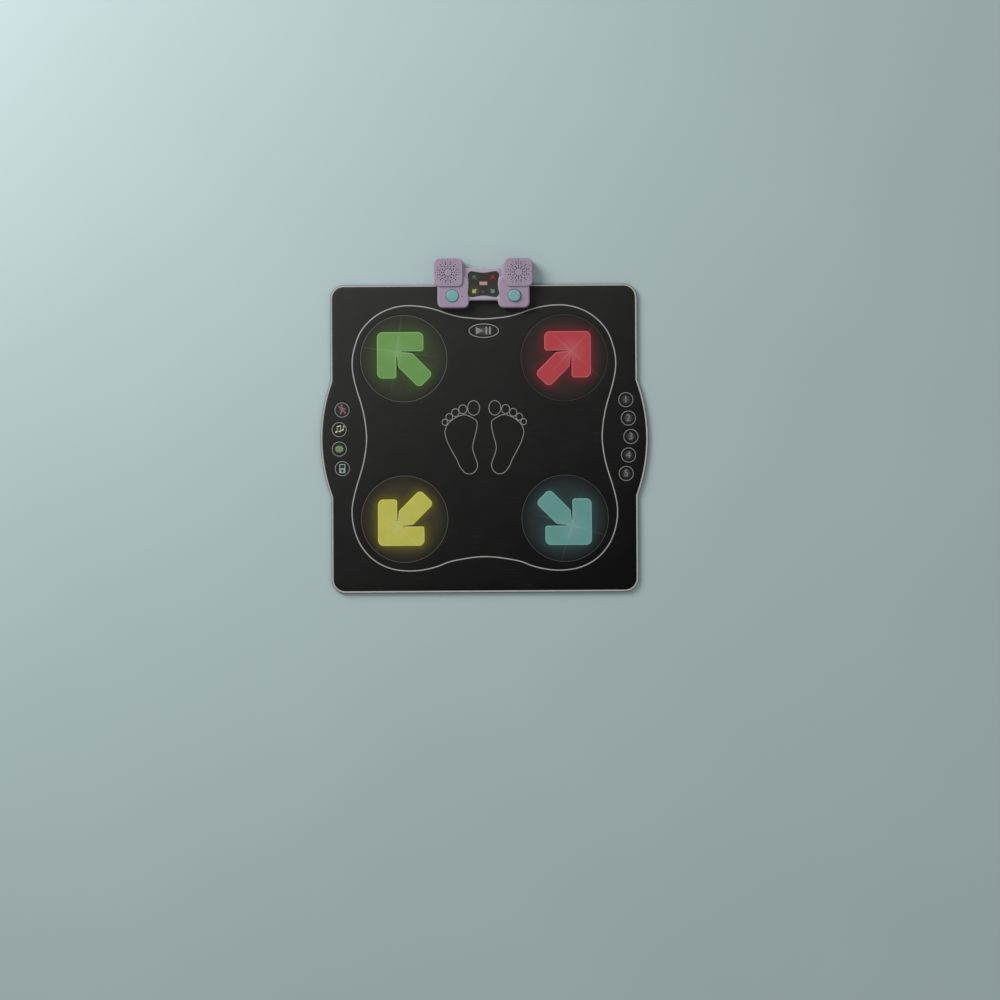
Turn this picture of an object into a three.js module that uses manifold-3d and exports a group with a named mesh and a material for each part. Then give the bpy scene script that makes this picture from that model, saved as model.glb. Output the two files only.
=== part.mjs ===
// Electronic dance mat: a soft padded mat with four light-up dance spots, ten touch pads and a
// control unit that straddles the rear edge of the mat.
// Lengths are in millimetres. X runs to the right, Y towards the control unit and Z up.
// The mat lies on the floor at Z = 0, and the origin is under the middle of the whole object.

import * as THREE from 'three';
import { mergeVertices } from 'three/addons/utils/BufferGeometryUtils.js';
import Module from 'manifold-3d';

// Mat outline
const matHalfWidth = 421.5;
const matHalfLength = 423;
const matCornerRadius = 35;
const bulgeReach = 28.5;
const bulgeRadius = 458;

// Gaps between pieces
const seatGap = 0.3;
const slideGap = 0.4;
const cutOverrun = 2;

// Mat layers, from the floor up
const baseThickness = 1.2;
const baseInset = 1;
const filmThickness = 0.4;
const foamThickness = 6;
const topThickness = 1.2;
const bindingWidth = 6;
const bindingProud = 0.3;
const bindingRound = 1.6;

// Dance spots
const spotSideInset = 201.5;
const spotEndInset = 203;
const spotRadius = 120;
const spotLip = 4;
const spotLipThickness = 1.5;
const spotProud = 0.5;
const windowProud = 0.3;

// Arrow, drawn pointing to the right and to the rear, in shares of the radius of its spot
const arrowHalfShare = 0.612;
const arrowBarLengthShare = 1.067;
const arrowBarWidthShare = 0.447;
const arrowShaftReachShare = 0.677;
const arrowSlitMouthShare = 0.033;
const arrowSlitTipShare = 0.01;
const arrowSlitInsetShare = 0.123;
const arrowSlitLengthShare = 0.232;
const arrowOuterRadiusShare = 0.131;
const arrowInnerRadiusShare = 0.066;
const arrowShaftRadiusShare = 0.115;

// Light boards
const boardRadiusShare = 0.6;
const boardThickness = 1.2;
const lampSize = 5;
const lampHeight = 0.7;
const lampRingRadiusShare = 0.35;
const lampCount = 4;

// Touch pads
const padRadius = 21.4;
const padLip = 1.4;
const padLipThickness = 1.2;
const padProud = 0.2;
const modePadCount = 4;
const levelPadCount = 5;
const padEdgeInset = 52;
const modePadPitch = 53.5;
const modePadStep = 8.1;
const levelPadPitch = 50.6;
const levelPadStep = 6.7;
const levelPadShift = 3;
const levelPadInset = 48.3;
const startPadLengthShare = 0.446;
const startPadInset = 127.4;

// Control unit outline, measured from the rear edge of the mat
const boxInnerX = 52;
const boxOuterX = 135;
const boxFront = -9;
const boxRear = 70;
const boxRadius = 16;
const boxInnerRadius = 22;
const podInnerX = 40;
const podOuterX = 126;
const podFront = -66;
const podRear = 20;
const podRadius = 15;
const bridgeFront = -45.4;
const bridgeRear = 43.4;
const bridgeFlare = 5.5;
const bridgeFlareRadius = 5;
const bridgeOverlap = 23;

// Control unit heights
const footHeight = 2;
const casingWall = 2.5;
const splitHeight = 16;
const bridgeTop = 29;
const bridgeCeilingDepth = 3.5;
const podTop = 33;
const casingRound = 4;
const matClearance = 0.6;

// Screws and what they go through
const screwShankRadius = 1.5;
const screwHeadRadius = 3.2;
const screwHeadHeight = 1.5;
const bossRadius = 4.5;
const screwEngagement = 7;
const screwTipClearance = 1;
const frontScrewX = 113;
const frontScrewY = -55;
const rearScrewX = 66;
const rearScrewY = 59;
const clampPlateThickness = 2;
const clampPlateMargin = 6;
const clampPlateRear = -9;
const clampPlateRadius = 6;

// Rubber feet
const footRadius = 7;
const footRecess = 0.5;
const footX = 116;
const footY = 51;

// Speakers and their covers
const speakerX = 96.5;
const speakerY = 30.5;
const speakerRimRadius = 30;
const speakerRimThickness = 2.2;
const speakerConeRadius = 23;
const speakerCapRadius = 7.5;
const speakerCapHeight = 2;
const speakerCapShoulderShare = 0.75;
const speakerConeDepth = 5;
const speakerMagnetRadius = 15;
const speakerMagnetDepth = 8;
const speakerDepth = 20;
const soundHoleRadius = 26;
const coverMargin = 1.5;
const coverInnerMargin = 5;
const coverThickness = 3.6;
const coverRound = 2.2;
const grilleSpokes = 24;
const grilleRings = 4;
const grilleInnerRadius = 11.5;
const grilleRingPitch = 5.7;
const grilleHoleRadius = 1.4;

// Power button and volume dial
const knobX = 85;
const knobY = -33.4;
const knobRadius = 16;
const knobHoleRadius = 18.3;
const knobRound = 2;
const buttonProud = 3;
const buttonLip = 4;
const buttonLipThickness = 2;
const buttonCrown = 0.5;
const buttonTravel = 2;
const dialProud = 6;
const dialSkirt = 3.5;
const dialFlutes = 12;
const dialFluteDepth = 0.35;
const dialMarkWidth = 2;
const dialMarkLength = 8;
const dialMarkDepth = 0.8;
const dialShaftRadius = 3;
const dialShaftDepth = 4;
const powerLightX = -58.7;
const powerLightY = -35;
const powerLightRadius = 1.4;
const powerLightProud = 0.2;

// Display
const displayY = -1.5;
const displayHalfWidth = 46;
const displayHalfLength = 38;
const displayPinch = 8;
const displayCornerRadius = 11;
const displayPinchRadius = 60;
const displayThickness = 2;
const displayProud = 0.6;
const displayLedge = 3;
const indicatorX = 24.5;
const indicatorY = 18.6;
const indicatorRadius = 10.8;
const lensThickness = 3;
const lensProud = 0.2;
const displayLightHalfWidth = 11;
const displayLightHalfLength = 5.5;
const displayLightY = 0.5;
const displayLightRadius = 1;
const connectY = -23;
const connectRadius = 5;
const connectProud = 1.2;
const connectLip = 1.8;
const connectLipThickness = 1.6;
const connectTravel = 1;
const connectRound = 0.6;

// Main board with its soldered parts
const circuitClearance = 2;
const circuitThickness = 1.6;
const circuitHalfWidth = 100;
const circuitNeckHalfWidth = 45;
const circuitFront = -42;
const circuitWingFront = -59;
const circuitWingRear = -10;
const circuitRear = 22;
const circuitRadius = 2;
const circuitWingInnerX = 46;
const postRadius = 3;
const postX = 60;
const postY = -40;
const switchHalfSize = 6;
const switchHeight = 2.2;
const plungerRadius = 2;
const controlRadius = 8.5;
const controlHeight = 3.6;
const chipHalfSize = 7;
const chipHeight = 1.4;
const chipY = -5;
const tactHalfSize = 3;
const tactHeight = 1.2;

// Aux jack
const jackX = 3;
const jackHalfWidth = 5.5;
const jackLength = 14;
const jackHeight = 5.6;
const jackBoreRadius = 1.8;
const jackNoseRadius = 2.7;
const jackNoseProud = 0.8;
const jackBoreDepth = 13;

// Batteries and their bay
const cellRadius = 7.1;
const cellLength = 50.5;
const cellCapRadius = 2.8;
const cellCapHeight = 1.5;
const cellRowPitch = 15.2;
const bayFront = 7.4;
const bayWall = 2;
const contactThickness = 0.6;
const contactMargin = 2;
const contactHeight = 11;
const doorThickness = 1.8;
const doorOverlap = 0.8;
const doorEarLength = 9;
const doorEarHalfWidth = 6;
const doorRadius = 1;
const doorTongueLength = 1.5;
const doorTongueHalfWidth = 4;
const doorTongueSpacing = 9;
const doorTongueThickness = 0.8;
const doorScrewHeadRadius = 2.4;
const doorScrewHeadHeight = 1;
const doorScrewLength = 7;
const doorScrewBossRadius = 4;

// How finely round shapes are cut
const spotSteps = 24;
const padSteps = 12;
const startPadSteps = 20;
const foamSpotSteps = 18;
const foamPadSteps = 8;
const foamStartSteps = 12;
const bulgeSteps = 6;
const roundSteps = 14;
const smallSteps = 8;
const holeSteps = 4;
const dialStepsPerFlute = 3;
const casingRoundSteps = 1;
const edgeRoundSteps = 1;
const quarterTurn = Math.PI / 2;
const cornerStepAngle = Math.PI / 6;

// Heights that follow from the layers
const baseTop = baseThickness;
const filmBottom = baseTop + seatGap;
const filmTop = filmBottom + filmThickness;
const foamBottom = filmTop + seatGap;
const foamTop = foamBottom + foamThickness;
const topBottom = foamTop + seatGap;
const matTop = topBottom + topThickness;
const bindingTop = matTop + bindingProud;
const spotLipBottom = foamTop - spotLipThickness;
const spotTop = matTop + spotProud;
const floorTop = footHeight + casingWall;
const shelfBottom = bindingTop + seatGap;
const shelfTop = shelfBottom + casingWall;
const bridgeCeiling = bridgeTop - bridgeCeilingDepth;
const podCeiling = podTop - casingWall;
const cellBottom = footHeight + doorThickness + seatGap;
const cellAxis = cellBottom + cellRadius;
const cellTop = cellAxis + cellRadius;
const jackBottom = cellTop + seatGap;
const jackAxis = jackBottom + jackHeight / 2;
const circuitBottom = cellTop + circuitClearance;
const circuitTop = circuitBottom + circuitThickness;
const postTop = circuitBottom - seatGap;
const displayTop = bridgeTop + displayProud;
const displayBottom = displayTop - displayThickness;
const buttonLipTop = podCeiling - seatGap;
const buttonBottom = buttonLipTop - buttonLipThickness;
const connectLipTop = displayBottom - seatGap;
const connectBottom = connectLipTop - connectLipThickness;
const dialBottom = podTop - dialSkirt;
const bossTop = circuitTop;
const screwTip = bossTop + screwEngagement;
const cellEnd = cellLength + seatGap / 2;
const contactInner = cellEnd + seatGap;
const bayHalfLength = contactInner + contactThickness + seatGap;
const bayRear = bridgeRear - casingWall;
const cellRowMiddle = (bayFront + bayRear) / 2;
const doorHalfLength = bayHalfLength + doorOverlap;
const doorScrewX = doorHalfLength + doorEarLength / 2;
const doorScrewTip = footHeight + doorScrewLength;

// Finishes
const blackFabric = { color: 0x1c1e1d, roughness: 0.8, metalness: 0 };
const greyPiping = { color: 0x9a9098, roughness: 0.7, metalness: 0 };
const darkRubber = { color: 0x26272a, roughness: 0.9, metalness: 0 };
const paleFoam = { color: 0xcfc9ba, roughness: 0.95, metalness: 0 };
const clearFilm = { color: 0xb8a888, roughness: 0.5, metalness: 0 };
const boardGreen = { color: 0x2c6a45, roughness: 0.6, metalness: 0 };
const lilacPlastic = { color: 0xb79cc2, roughness: 0.45, metalness: 0 };
const lilacCover = { color: 0xa78bb4, roughness: 0.5, metalness: 0 };
const tealPlastic = { color: 0x79c1c6, roughness: 0.4, metalness: 0 };
const blackPlastic = { color: 0x17171a, roughness: 0.5, metalness: 0 };
const blackGloss = { color: 0x0d0d10, roughness: 0.12, metalness: 0 };
const paperCone = { color: 0x2b2b2d, roughness: 0.9, metalness: 0 };
const steel = { color: 0xb9bcc0, roughness: 0.35, metalness: 1 };
const cellWrap = { color: 0x3f5a78, roughness: 0.4, metalness: 0.2 };
const pinkLens = { color: 0xe0a39b, roughness: 0.3, metalness: 0 };
const arrowColours = [
  { name: 'red', turn: 0, finish: { color: 0xc2414f, roughness: 0.45, metalness: 0 } },
  { name: 'green', turn: 1, finish: { color: 0x6fae57, roughness: 0.45, metalness: 0 } },
  { name: 'yellow', turn: 2, finish: { color: 0xc9c453, roughness: 0.45, metalness: 0 } },
  { name: 'teal', turn: 3, finish: { color: 0x66a898, roughness: 0.45, metalness: 0 } },
];

const wasm = await Module();
wasm.setup();

// Makes one closed solid from a geometry, with its faces pointing out
function solidOf(geometry) {
  geometry.deleteAttribute('normal');
  geometry.deleteAttribute('uv');
  const merged = mergeVertices(geometry);
  const places = merged.attributes.position;
  const corners = [];
  let volume = 0;
  const a = new THREE.Vector3();
  const b = new THREE.Vector3();
  const c = new THREE.Vector3();
  for (let i = 0; i < merged.index.count; i += 3) {
    const [p, q, r] = [0, 1, 2].map((k) => merged.index.getX(i + k));
    if (p === q || q === r || r === p) continue;
    a.fromBufferAttribute(places, p);
    b.fromBufferAttribute(places, q);
    c.fromBufferAttribute(places, r);
    volume += a.dot(b.cross(c));
    corners.push(p, q, r);
  }
  if (volume < 0) corners.reverse();
  return new wasm.Manifold(new wasm.Mesh({
    numProp: 3,
    vertProperties: new Float32Array(places.array),
    triVerts: new Uint32Array(corners),
  }));
}

// Joins several solids into one
function joined(...solids) {
  return solids.reduce((whole, solid) => whole.add(solid));
}

// Cuts several solids out of the first one
function cut(solid, ...tools) {
  return tools.reduce((rest, tool) => rest.subtract(tool), solid);
}

// Names a solid, gives it its finish and puts it in a group
function addPiece(group, name, solid, finish) {
  const found = solid.getMesh();
  const geometry = new THREE.BufferGeometry();
  geometry.setAttribute('position', new THREE.BufferAttribute(new Float32Array(found.vertProperties), 3));
  geometry.setIndex(new THREE.BufferAttribute(new Uint32Array(found.triVerts), 1));
  geometry.computeVertexNormals();
  const mesh = new THREE.Mesh(geometry, new THREE.MeshStandardMaterial(finish));
  mesh.name = name;
  group.add(mesh);
  return mesh;
}

function line(start, end) {
  return new THREE.Vector2().subVectors(end, start).normalize();
}

// Rounds the corners of an outline that runs anticlockwise. Each corner is [x, y, radius], and
// grow moves every side outwards.
function roundOutline(corners, grow = 0) {
  const places = corners.map(([x, y]) => new THREE.Vector2(x, y));
  const count = places.length;
  const outline = [];
  for (let i = 0; i < count; i += 1) {
    const before = line(places[(i + count - 1) % count], places[i]);
    const after = line(places[i], places[(i + 1) % count]);
    const turn = Math.atan2(before.cross(after), before.dot(after));
    const halfTan = Math.tan(turn / 2);
    const corner = places[i].clone();
    corner.x += grow * (before.y + before.x * halfTan);
    corner.y += grow * (before.y * halfTan - before.x);
    const radius = Math.max(corners[i][2] + grow * Math.sign(turn), 0);
    const reach = radius * Math.abs(halfTan);
    if (reach === 0) {
      outline.push(corner);
      continue;
    }
    const steps = Math.max(Math.ceil(Math.abs(turn) / cornerStepAngle), 1);
    const side = Math.sign(turn);
    const start = corner.clone().addScaledVector(before, -reach);
    const across = new THREE.Vector2(-before.y, before.x);
    const middle = start.clone().addScaledVector(across, radius * side);
    for (let k = 0; k <= steps; k += 1) {
      outline.push(start.clone().rotateAround(middle, (turn * k) / steps));
    }
  }
  return outline;
}

// A ring of points, round or oval
function ovalOutline(halfLength, halfWidth, steps, x = 0, y = 0) {
  const outline = [];
  for (let i = 0; i < steps; i += 1) {
    const angle = (i / steps) * Math.PI * 2;
    outline.push(new THREE.Vector2(x + halfLength * Math.cos(angle), y + halfWidth * Math.sin(angle)));
  }
  return outline;
}

function circle(radius, steps, x = 0, y = 0) {
  return ovalOutline(radius, radius, steps, x, y);
}

// A rounded rectangle between two corners
function rectangle(left, right, front, rear, radius, grow = 0) {
  return roundOutline([[left, front, radius], [right, front, radius], [right, rear, radius],
    [left, rear, radius]], grow);
}

// A plate with holes, from one height to another
function plate(outline, bottom, top, holes = []) {
  const shape = new THREE.Shape(outline);
  shape.holes = holes.map((hole) => new THREE.Path(hole));
  const geometry = new THREE.ExtrudeGeometry(shape, { depth: top - bottom, bevelEnabled: false });
  geometry.translate(0, 0, bottom);
  return solidOf(geometry);
}

// A plate whose top and bottom edges are rounded
function softPlate(outline, bottom, top, round, steps, holes = []) {
  const shape = new THREE.Shape(outline);
  shape.holes = holes.map((hole) => new THREE.Path(hole));
  const geometry = new THREE.ExtrudeGeometry(shape, {
    depth: top - bottom - round * 2,
    bevelEnabled: true,
    bevelThickness: round,
    bevelSize: round,
    bevelOffset: -round,
    bevelSegments: steps,
  });
  geometry.translate(0, 0, bottom + round);
  return solidOf(geometry);
}

// A turned piece from a profile of [radius, height], from the axis round to the axis
function turned(profile, steps, x = 0, y = 0) {
  const points = profile.map(([radius, height]) => new THREE.Vector2(radius, height));
  const geometry = new THREE.LatheGeometry(points, steps);
  geometry.rotateX(quarterTurn);
  geometry.translate(x, y, 0);
  return solidOf(geometry);
}

function cylinder(radius, bottom, top, steps, x = 0, y = 0) {
  return plate(circle(radius, steps, x, y), bottom, top);
}

function block(left, right, front, rear, bottom, top) {
  return plate(rectangle(left, right, front, rear, 0), bottom, top);
}

// The outline of the mat: straight sides, round corners and a shallow bulge on each side
function matOutline(inset) {
  const halfWidth = matHalfWidth - inset;
  const halfLength = matHalfLength - inset;
  const radius = matCornerRadius - inset;
  const arcRadius = bulgeRadius - inset;
  const arcMiddle = matHalfWidth + bulgeReach - bulgeRadius;
  const sweep = Math.acos((halfWidth - arcMiddle) / arcRadius);
  const outline = [];
  for (const side of [1, -1]) {
    for (let i = 0; i <= bulgeSteps; i += 1) {
      const angle = sweep * ((i / bulgeSteps) * 2 - 1);
      outline.push(new THREE.Vector2(side * (arcMiddle + arcRadius * Math.cos(angle)), side * arcRadius
        * Math.sin(angle)));
    }
    const corners = [[side, side], [-side, side]];
    for (const [i, [x, y]] of corners.entries()) {
      const middle = new THREE.Vector2(x * (halfWidth - radius), y * (halfLength - radius));
      const from = quarterTurn * (i + (side > 0 ? 0 : 2));
      const steps = Math.ceil(quarterTurn / cornerStepAngle);
      for (let k = 0; k <= steps; k += 1) {
        const angle = from + (quarterTurn * k) / steps;
        outline.push(new THREE.Vector2(middle.x + radius * Math.cos(angle), middle.y + radius
          * Math.sin(angle)));
      }
    }
  }
  return outline;
}

// The arrow of a round spot of that radius, with or without the two slits that set its shaft off
// from its head
function arrowOutline(spot, grow, hasSlits = true) {
  const edge = spot * arrowHalfShare;
  const barEnd = edge - spot * arrowBarLengthShare;
  const barSide = edge - spot * arrowBarWidthShare;
  const slitEnd = barSide - spot * arrowSlitInsetShare;
  const slitMouthX = slitEnd - spot * arrowSlitLengthShare;
  const shaftSide = barSide - (hasSlits ? spot * arrowSlitMouthShare : 0);
  const reach = spot * arrowShaftReachShare;
  const outerRadius = spot * arrowOuterRadiusShare;
  const slit = [[slitEnd, barSide, 0], [slitEnd, barSide - spot * arrowSlitTipShare, 0]];
  const half = [
    [barEnd, edge, outerRadius],
    [barEnd, barSide, spot * arrowInnerRadiusShare],
    ...(hasSlits ? slit : []),
    [slitMouthX, shaftSide, 0],
    [-reach, shaftSide - slitMouthX - reach, spot * arrowShaftRadiusShare],
  ];
  const mirrored = half.map(([x, y, radius]) => [y, x, radius]).reverse();
  return roundOutline([[edge, edge, outerRadius], ...half, ...mirrored], grow);
}

// Where the pads lie: a short row near each side, on a line that follows the bulge
function padPlaces() {
  const places = [];
  const bulgeEdge = matHalfWidth + bulgeReach;
  for (let i = 0; i < modePadCount; i += 1) {
    const along = (modePadCount - 1) / 2 - i;
    places.push({
      name: `mode_pad_${i + 1}`,
      x: padEdgeInset - bulgeEdge + modePadStep * Math.floor(Math.abs(along)),
      y: modePadPitch * along,
    });
  }
  for (let i = 0; i < levelPadCount; i += 1) {
    const along = (levelPadCount - 1) / 2 - i;
    places.push({
      name: `level_pad_${i + 1}`,
      x: bulgeEdge - levelPadInset - levelPadStep * Math.abs(along),
      y: levelPadPitch * along + levelPadShift,
    });
  }
  return places;
}

// The four quarters that the spots and their indicator lenses lie in, from the right rear one
const quarters = [[1, 1], [-1, 1], [-1, -1], [1, -1]];
const spotX = matHalfWidth - spotSideInset;
const spotY = matHalfLength - spotEndInset;
const spotPlaces = quarters.map(([x, y]) => ({ x: x * spotX, y: y * spotY }));
const startPadHalfLength = (spotX - spotRadius) * startPadLengthShare;
const startPadY = matHalfLength - startPadInset;

// A round opening whose flat facets stay clear of a round piece of that radius
function opening(radius, steps, x, y) {
  return circle(radius / Math.cos(Math.PI / steps), steps, x, y);
}

// The openings that the spots and pads need in a layer, each a little larger than what fills it
function layerOpenings(margin, steps) {
  const spots = spotPlaces.map(({ x, y }) => opening(spotRadius + margin.spot, steps.spot, x, y));
  const pads = padPlaces().map(({ x, y }) => opening(padRadius + margin.pad, steps.pad, x, y));
  const clear = 1 / Math.cos(Math.PI / steps.start);
  const start = ovalOutline((startPadHalfLength + margin.pad) * clear, (padRadius + margin.pad) * clear,
    steps.start, 0, startPadY);
  return [...spots, ...pads, start];
}

const screwHoleRadius = screwShankRadius + seatGap;
const headHoleRadius = screwHeadRadius + seatGap;
const frontScrewPlaces = [-1, 1].map((side) => [side * frontScrewX, frontScrewY + matHalfLength]);

function frontScrewHoles(radius) {
  return frontScrewPlaces.map(([x, y]) => circle(radius, smallSteps, x, y));
}

function addMatLayers(group) {
  const layerInset = bindingWidth + seatGap;
  const topSteps = { spot: spotSteps, pad: padSteps, start: startPadSteps };
  const foamSteps = { spot: foamSpotSteps, pad: foamPadSteps, start: foamStartSteps };
  const topMargin = { spot: slideGap, pad: slideGap };
  const foamMargin = { spot: spotLip + slideGap, pad: padLip + slideGap };
  const clampEdge = frontScrewX + clampPlateMargin;
  const clampFront = matHalfLength + frontScrewY - clampPlateMargin;
  const clampRear = matHalfLength + clampPlateRear;
  const pocketTop = foamBottom + clampPlateThickness + seatGap;
  const pocketOutline = rectangle(-clampEdge, clampEdge, clampFront, clampRear, clampPlateRadius, seatGap);
  const pocket = plate(pocketOutline, foamBottom - cutOverrun, pocketTop);
  const foamHoles = [...layerOpenings(foamMargin, foamSteps), ...frontScrewHoles(screwHoleRadius)];
  const topHoles = [...layerOpenings(topMargin, topSteps), ...frontScrewHoles(screwHoleRadius)];
  const clampOutline = rectangle(-clampEdge, clampEdge, clampFront, clampRear, clampPlateRadius);
  const clampTop = foamBottom + clampPlateThickness;
  const bindingOuter = matOutline(0);
  const bindingInner = matOutline(bindingWidth);
  addPiece(group, 'base_sheet', plate(matOutline(baseInset), 0, baseTop, frontScrewHoles(headHoleRadius)),
    darkRubber);
  addPiece(group, 'contact_film', plate(matOutline(layerInset), filmBottom, filmTop,
    frontScrewHoles(headHoleRadius)), clearFilm);
  addPiece(group, 'foam_pad', cut(plate(matOutline(layerInset), foamBottom, foamTop, foamHoles), pocket),
    paleFoam);
  addPiece(group, 'top_sheet', plate(matOutline(layerInset), topBottom, matTop, topHoles), blackFabric);
  addPiece(group, 'edge_binding', softPlate(bindingOuter, filmBottom, bindingTop, bindingRound,
    edgeRoundSteps, [bindingInner]), greyPiping);
  addPiece(group, 'clamp_plate', plate(clampOutline, foamBottom, clampTop,
    frontScrewHoles(screwHoleRadius)), blackPlastic);
}

function spotPanel() {
  const lipRadius = spotRadius + spotLip;
  const body = turned([[0, spotLipBottom], [lipRadius, spotLipBottom], [lipRadius, foamTop],
    [spotRadius, foamTop], [spotRadius, spotTop], [0, spotTop]], spotSteps);
  return cut(body, plate(arrowOutline(spotRadius, seatGap), 0, spotTop + cutOverrun));
}

function lightBoard() {
  const boardTop = foamBottom + boardThickness;
  const board = cylinder(spotRadius * boardRadiusShare, foamBottom, boardTop, roundSteps);
  const half = lampSize / 2;
  const lampPlaces = circle(spotRadius * lampRingRadiusShare, lampCount);
  const lamps = lampPlaces.map(({ x, y }) => block(x - half, x + half, y - half, y + half, foamBottom,
    boardTop + lampHeight));
  return joined(board, ...lamps);
}

function addSpots(group) {
  for (const [i, { name, turn, finish }] of arrowColours.entries()) {
    const { x, y } = spotPlaces[i];
    const panel = addPiece(group, `spot_panel_${name}`, spotPanel(), blackFabric);
    const arrow = plate(arrowOutline(spotRadius, 0), spotLipBottom, spotTop + windowProud);
    const windowPiece = addPiece(group, `arrow_window_${name}`, arrow, finish);
    const board = addPiece(group, `light_board_${name}`, lightBoard(), boardGreen);
    for (const mesh of [panel, windowPiece, board]) {
      mesh.position.set(x, y, 0);
      mesh.rotation.z = quarterTurn * turn;
    }
  }
}

function addPads(group) {
  const lipBottom = foamTop - padLipThickness;
  const padTop = matTop + padProud;
  for (const { name, x, y } of padPlaces()) {
    const pad = turned([[0, lipBottom], [padRadius + padLip, lipBottom], [padRadius + padLip, foamTop],
      [padRadius, foamTop], [padRadius, padTop], [0, padTop]], padSteps);
    addPiece(group, name, pad, blackFabric).position.set(x, y, 0);
  }
  const lip = plate(ovalOutline(startPadHalfLength + padLip, padRadius + padLip, startPadSteps), lipBottom,
    foamTop);
  const cap = plate(ovalOutline(startPadHalfLength, padRadius, startPadSteps), lipBottom, padTop);
  addPiece(group, 'start_pad', joined(lip, cap), blackFabric).position.set(0, startPadY, 0);
}

// The three moulded forms of the casing on one side or in the middle, moved in by an inset
function boxOutline(side, inset) {
  const corners = [
    [boxInnerX, boxFront, boxRadius],
    [boxOuterX, boxFront, boxRadius],
    [boxOuterX, boxRear, boxRadius],
    [boxInnerX, boxRear, boxInnerRadius],
  ];
  const mirrored = corners.map(([x, y, radius]) => [-x, y, radius]).reverse();
  return roundOutline(side > 0 ? corners : mirrored, -inset);
}

function podOutline(side, inset) {
  const [left, right] = [side * podInnerX, side * podOuterX].sort((a, b) => a - b);
  return rectangle(left, right, podFront, podRear, podRadius, -inset);
}

function bridgeOutline(inset) {
  const half = [
    [podInnerX, bridgeFront, bridgeFlareRadius],
    [podInnerX, bridgeFront - bridgeFlare, 0],
    [boxInnerX + bridgeOverlap, bridgeFront - bridgeFlare, 0],
    [boxInnerX + bridgeOverlap, bridgeRear + bridgeFlare, 0],
    [boxInnerX, bridgeRear + bridgeFlare, 0],
    [boxInnerX, bridgeRear, bridgeFlareRadius],
  ];
  const mirrored = half.map(([x, y, radius]) => [-x, y, radius]).reverse();
  return roundOutline([...half, ...mirrored], -inset);
}

// Every form of the casing, from one height up to its own top less a wall
function casingForm(bottom, inset, podHeight, bridgeHeight, make) {
  const forms = [make(bridgeOutline(inset), bottom, bridgeHeight)];
  for (const side of [-1, 1]) {
    forms.push(make(boxOutline(side, inset), bottom, podHeight));
    forms.push(make(podOutline(side, inset), bottom, podHeight));
  }
  return joined(...forms);
}

// Everything under a height, or over it, as one block that is larger than the unit
function unitBlock(front, rear, bottom, top) {
  return block(-boxOuterX - cutOverrun, boxOuterX + cutOverrun, front, rear, bottom, top);
}

const unitFront = podFront - cutOverrun;
const unitRear = boxRear + cutOverrun;
const rearScrewPlaces = [-1, 1].map((side) => [side * rearScrewX, rearScrewY]);
const unitScrewPlaces = [-1, 1].map((side) => [side * frontScrewX, frontScrewY]);

function doorOutline(grow) {
  const ear = doorHalfLength + doorEarLength;
  const earFront = cellRowMiddle - doorEarHalfWidth;
  const earRear = cellRowMiddle + doorEarHalfWidth;
  const front = bayFront + seatGap;
  const rear = bayRear - seatGap;
  return roundOutline([
    [-doorHalfLength, front, doorRadius],
    [doorHalfLength, front, doorRadius],
    [doorHalfLength, earFront, doorRadius],
    [ear, earFront, doorRadius],
    [ear, earRear, doorRadius],
    [doorHalfLength, earRear, doorRadius],
    [doorHalfLength, rear, doorRadius],
    [-doorHalfLength, rear, doorRadius],
  ], grow);
}

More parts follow.
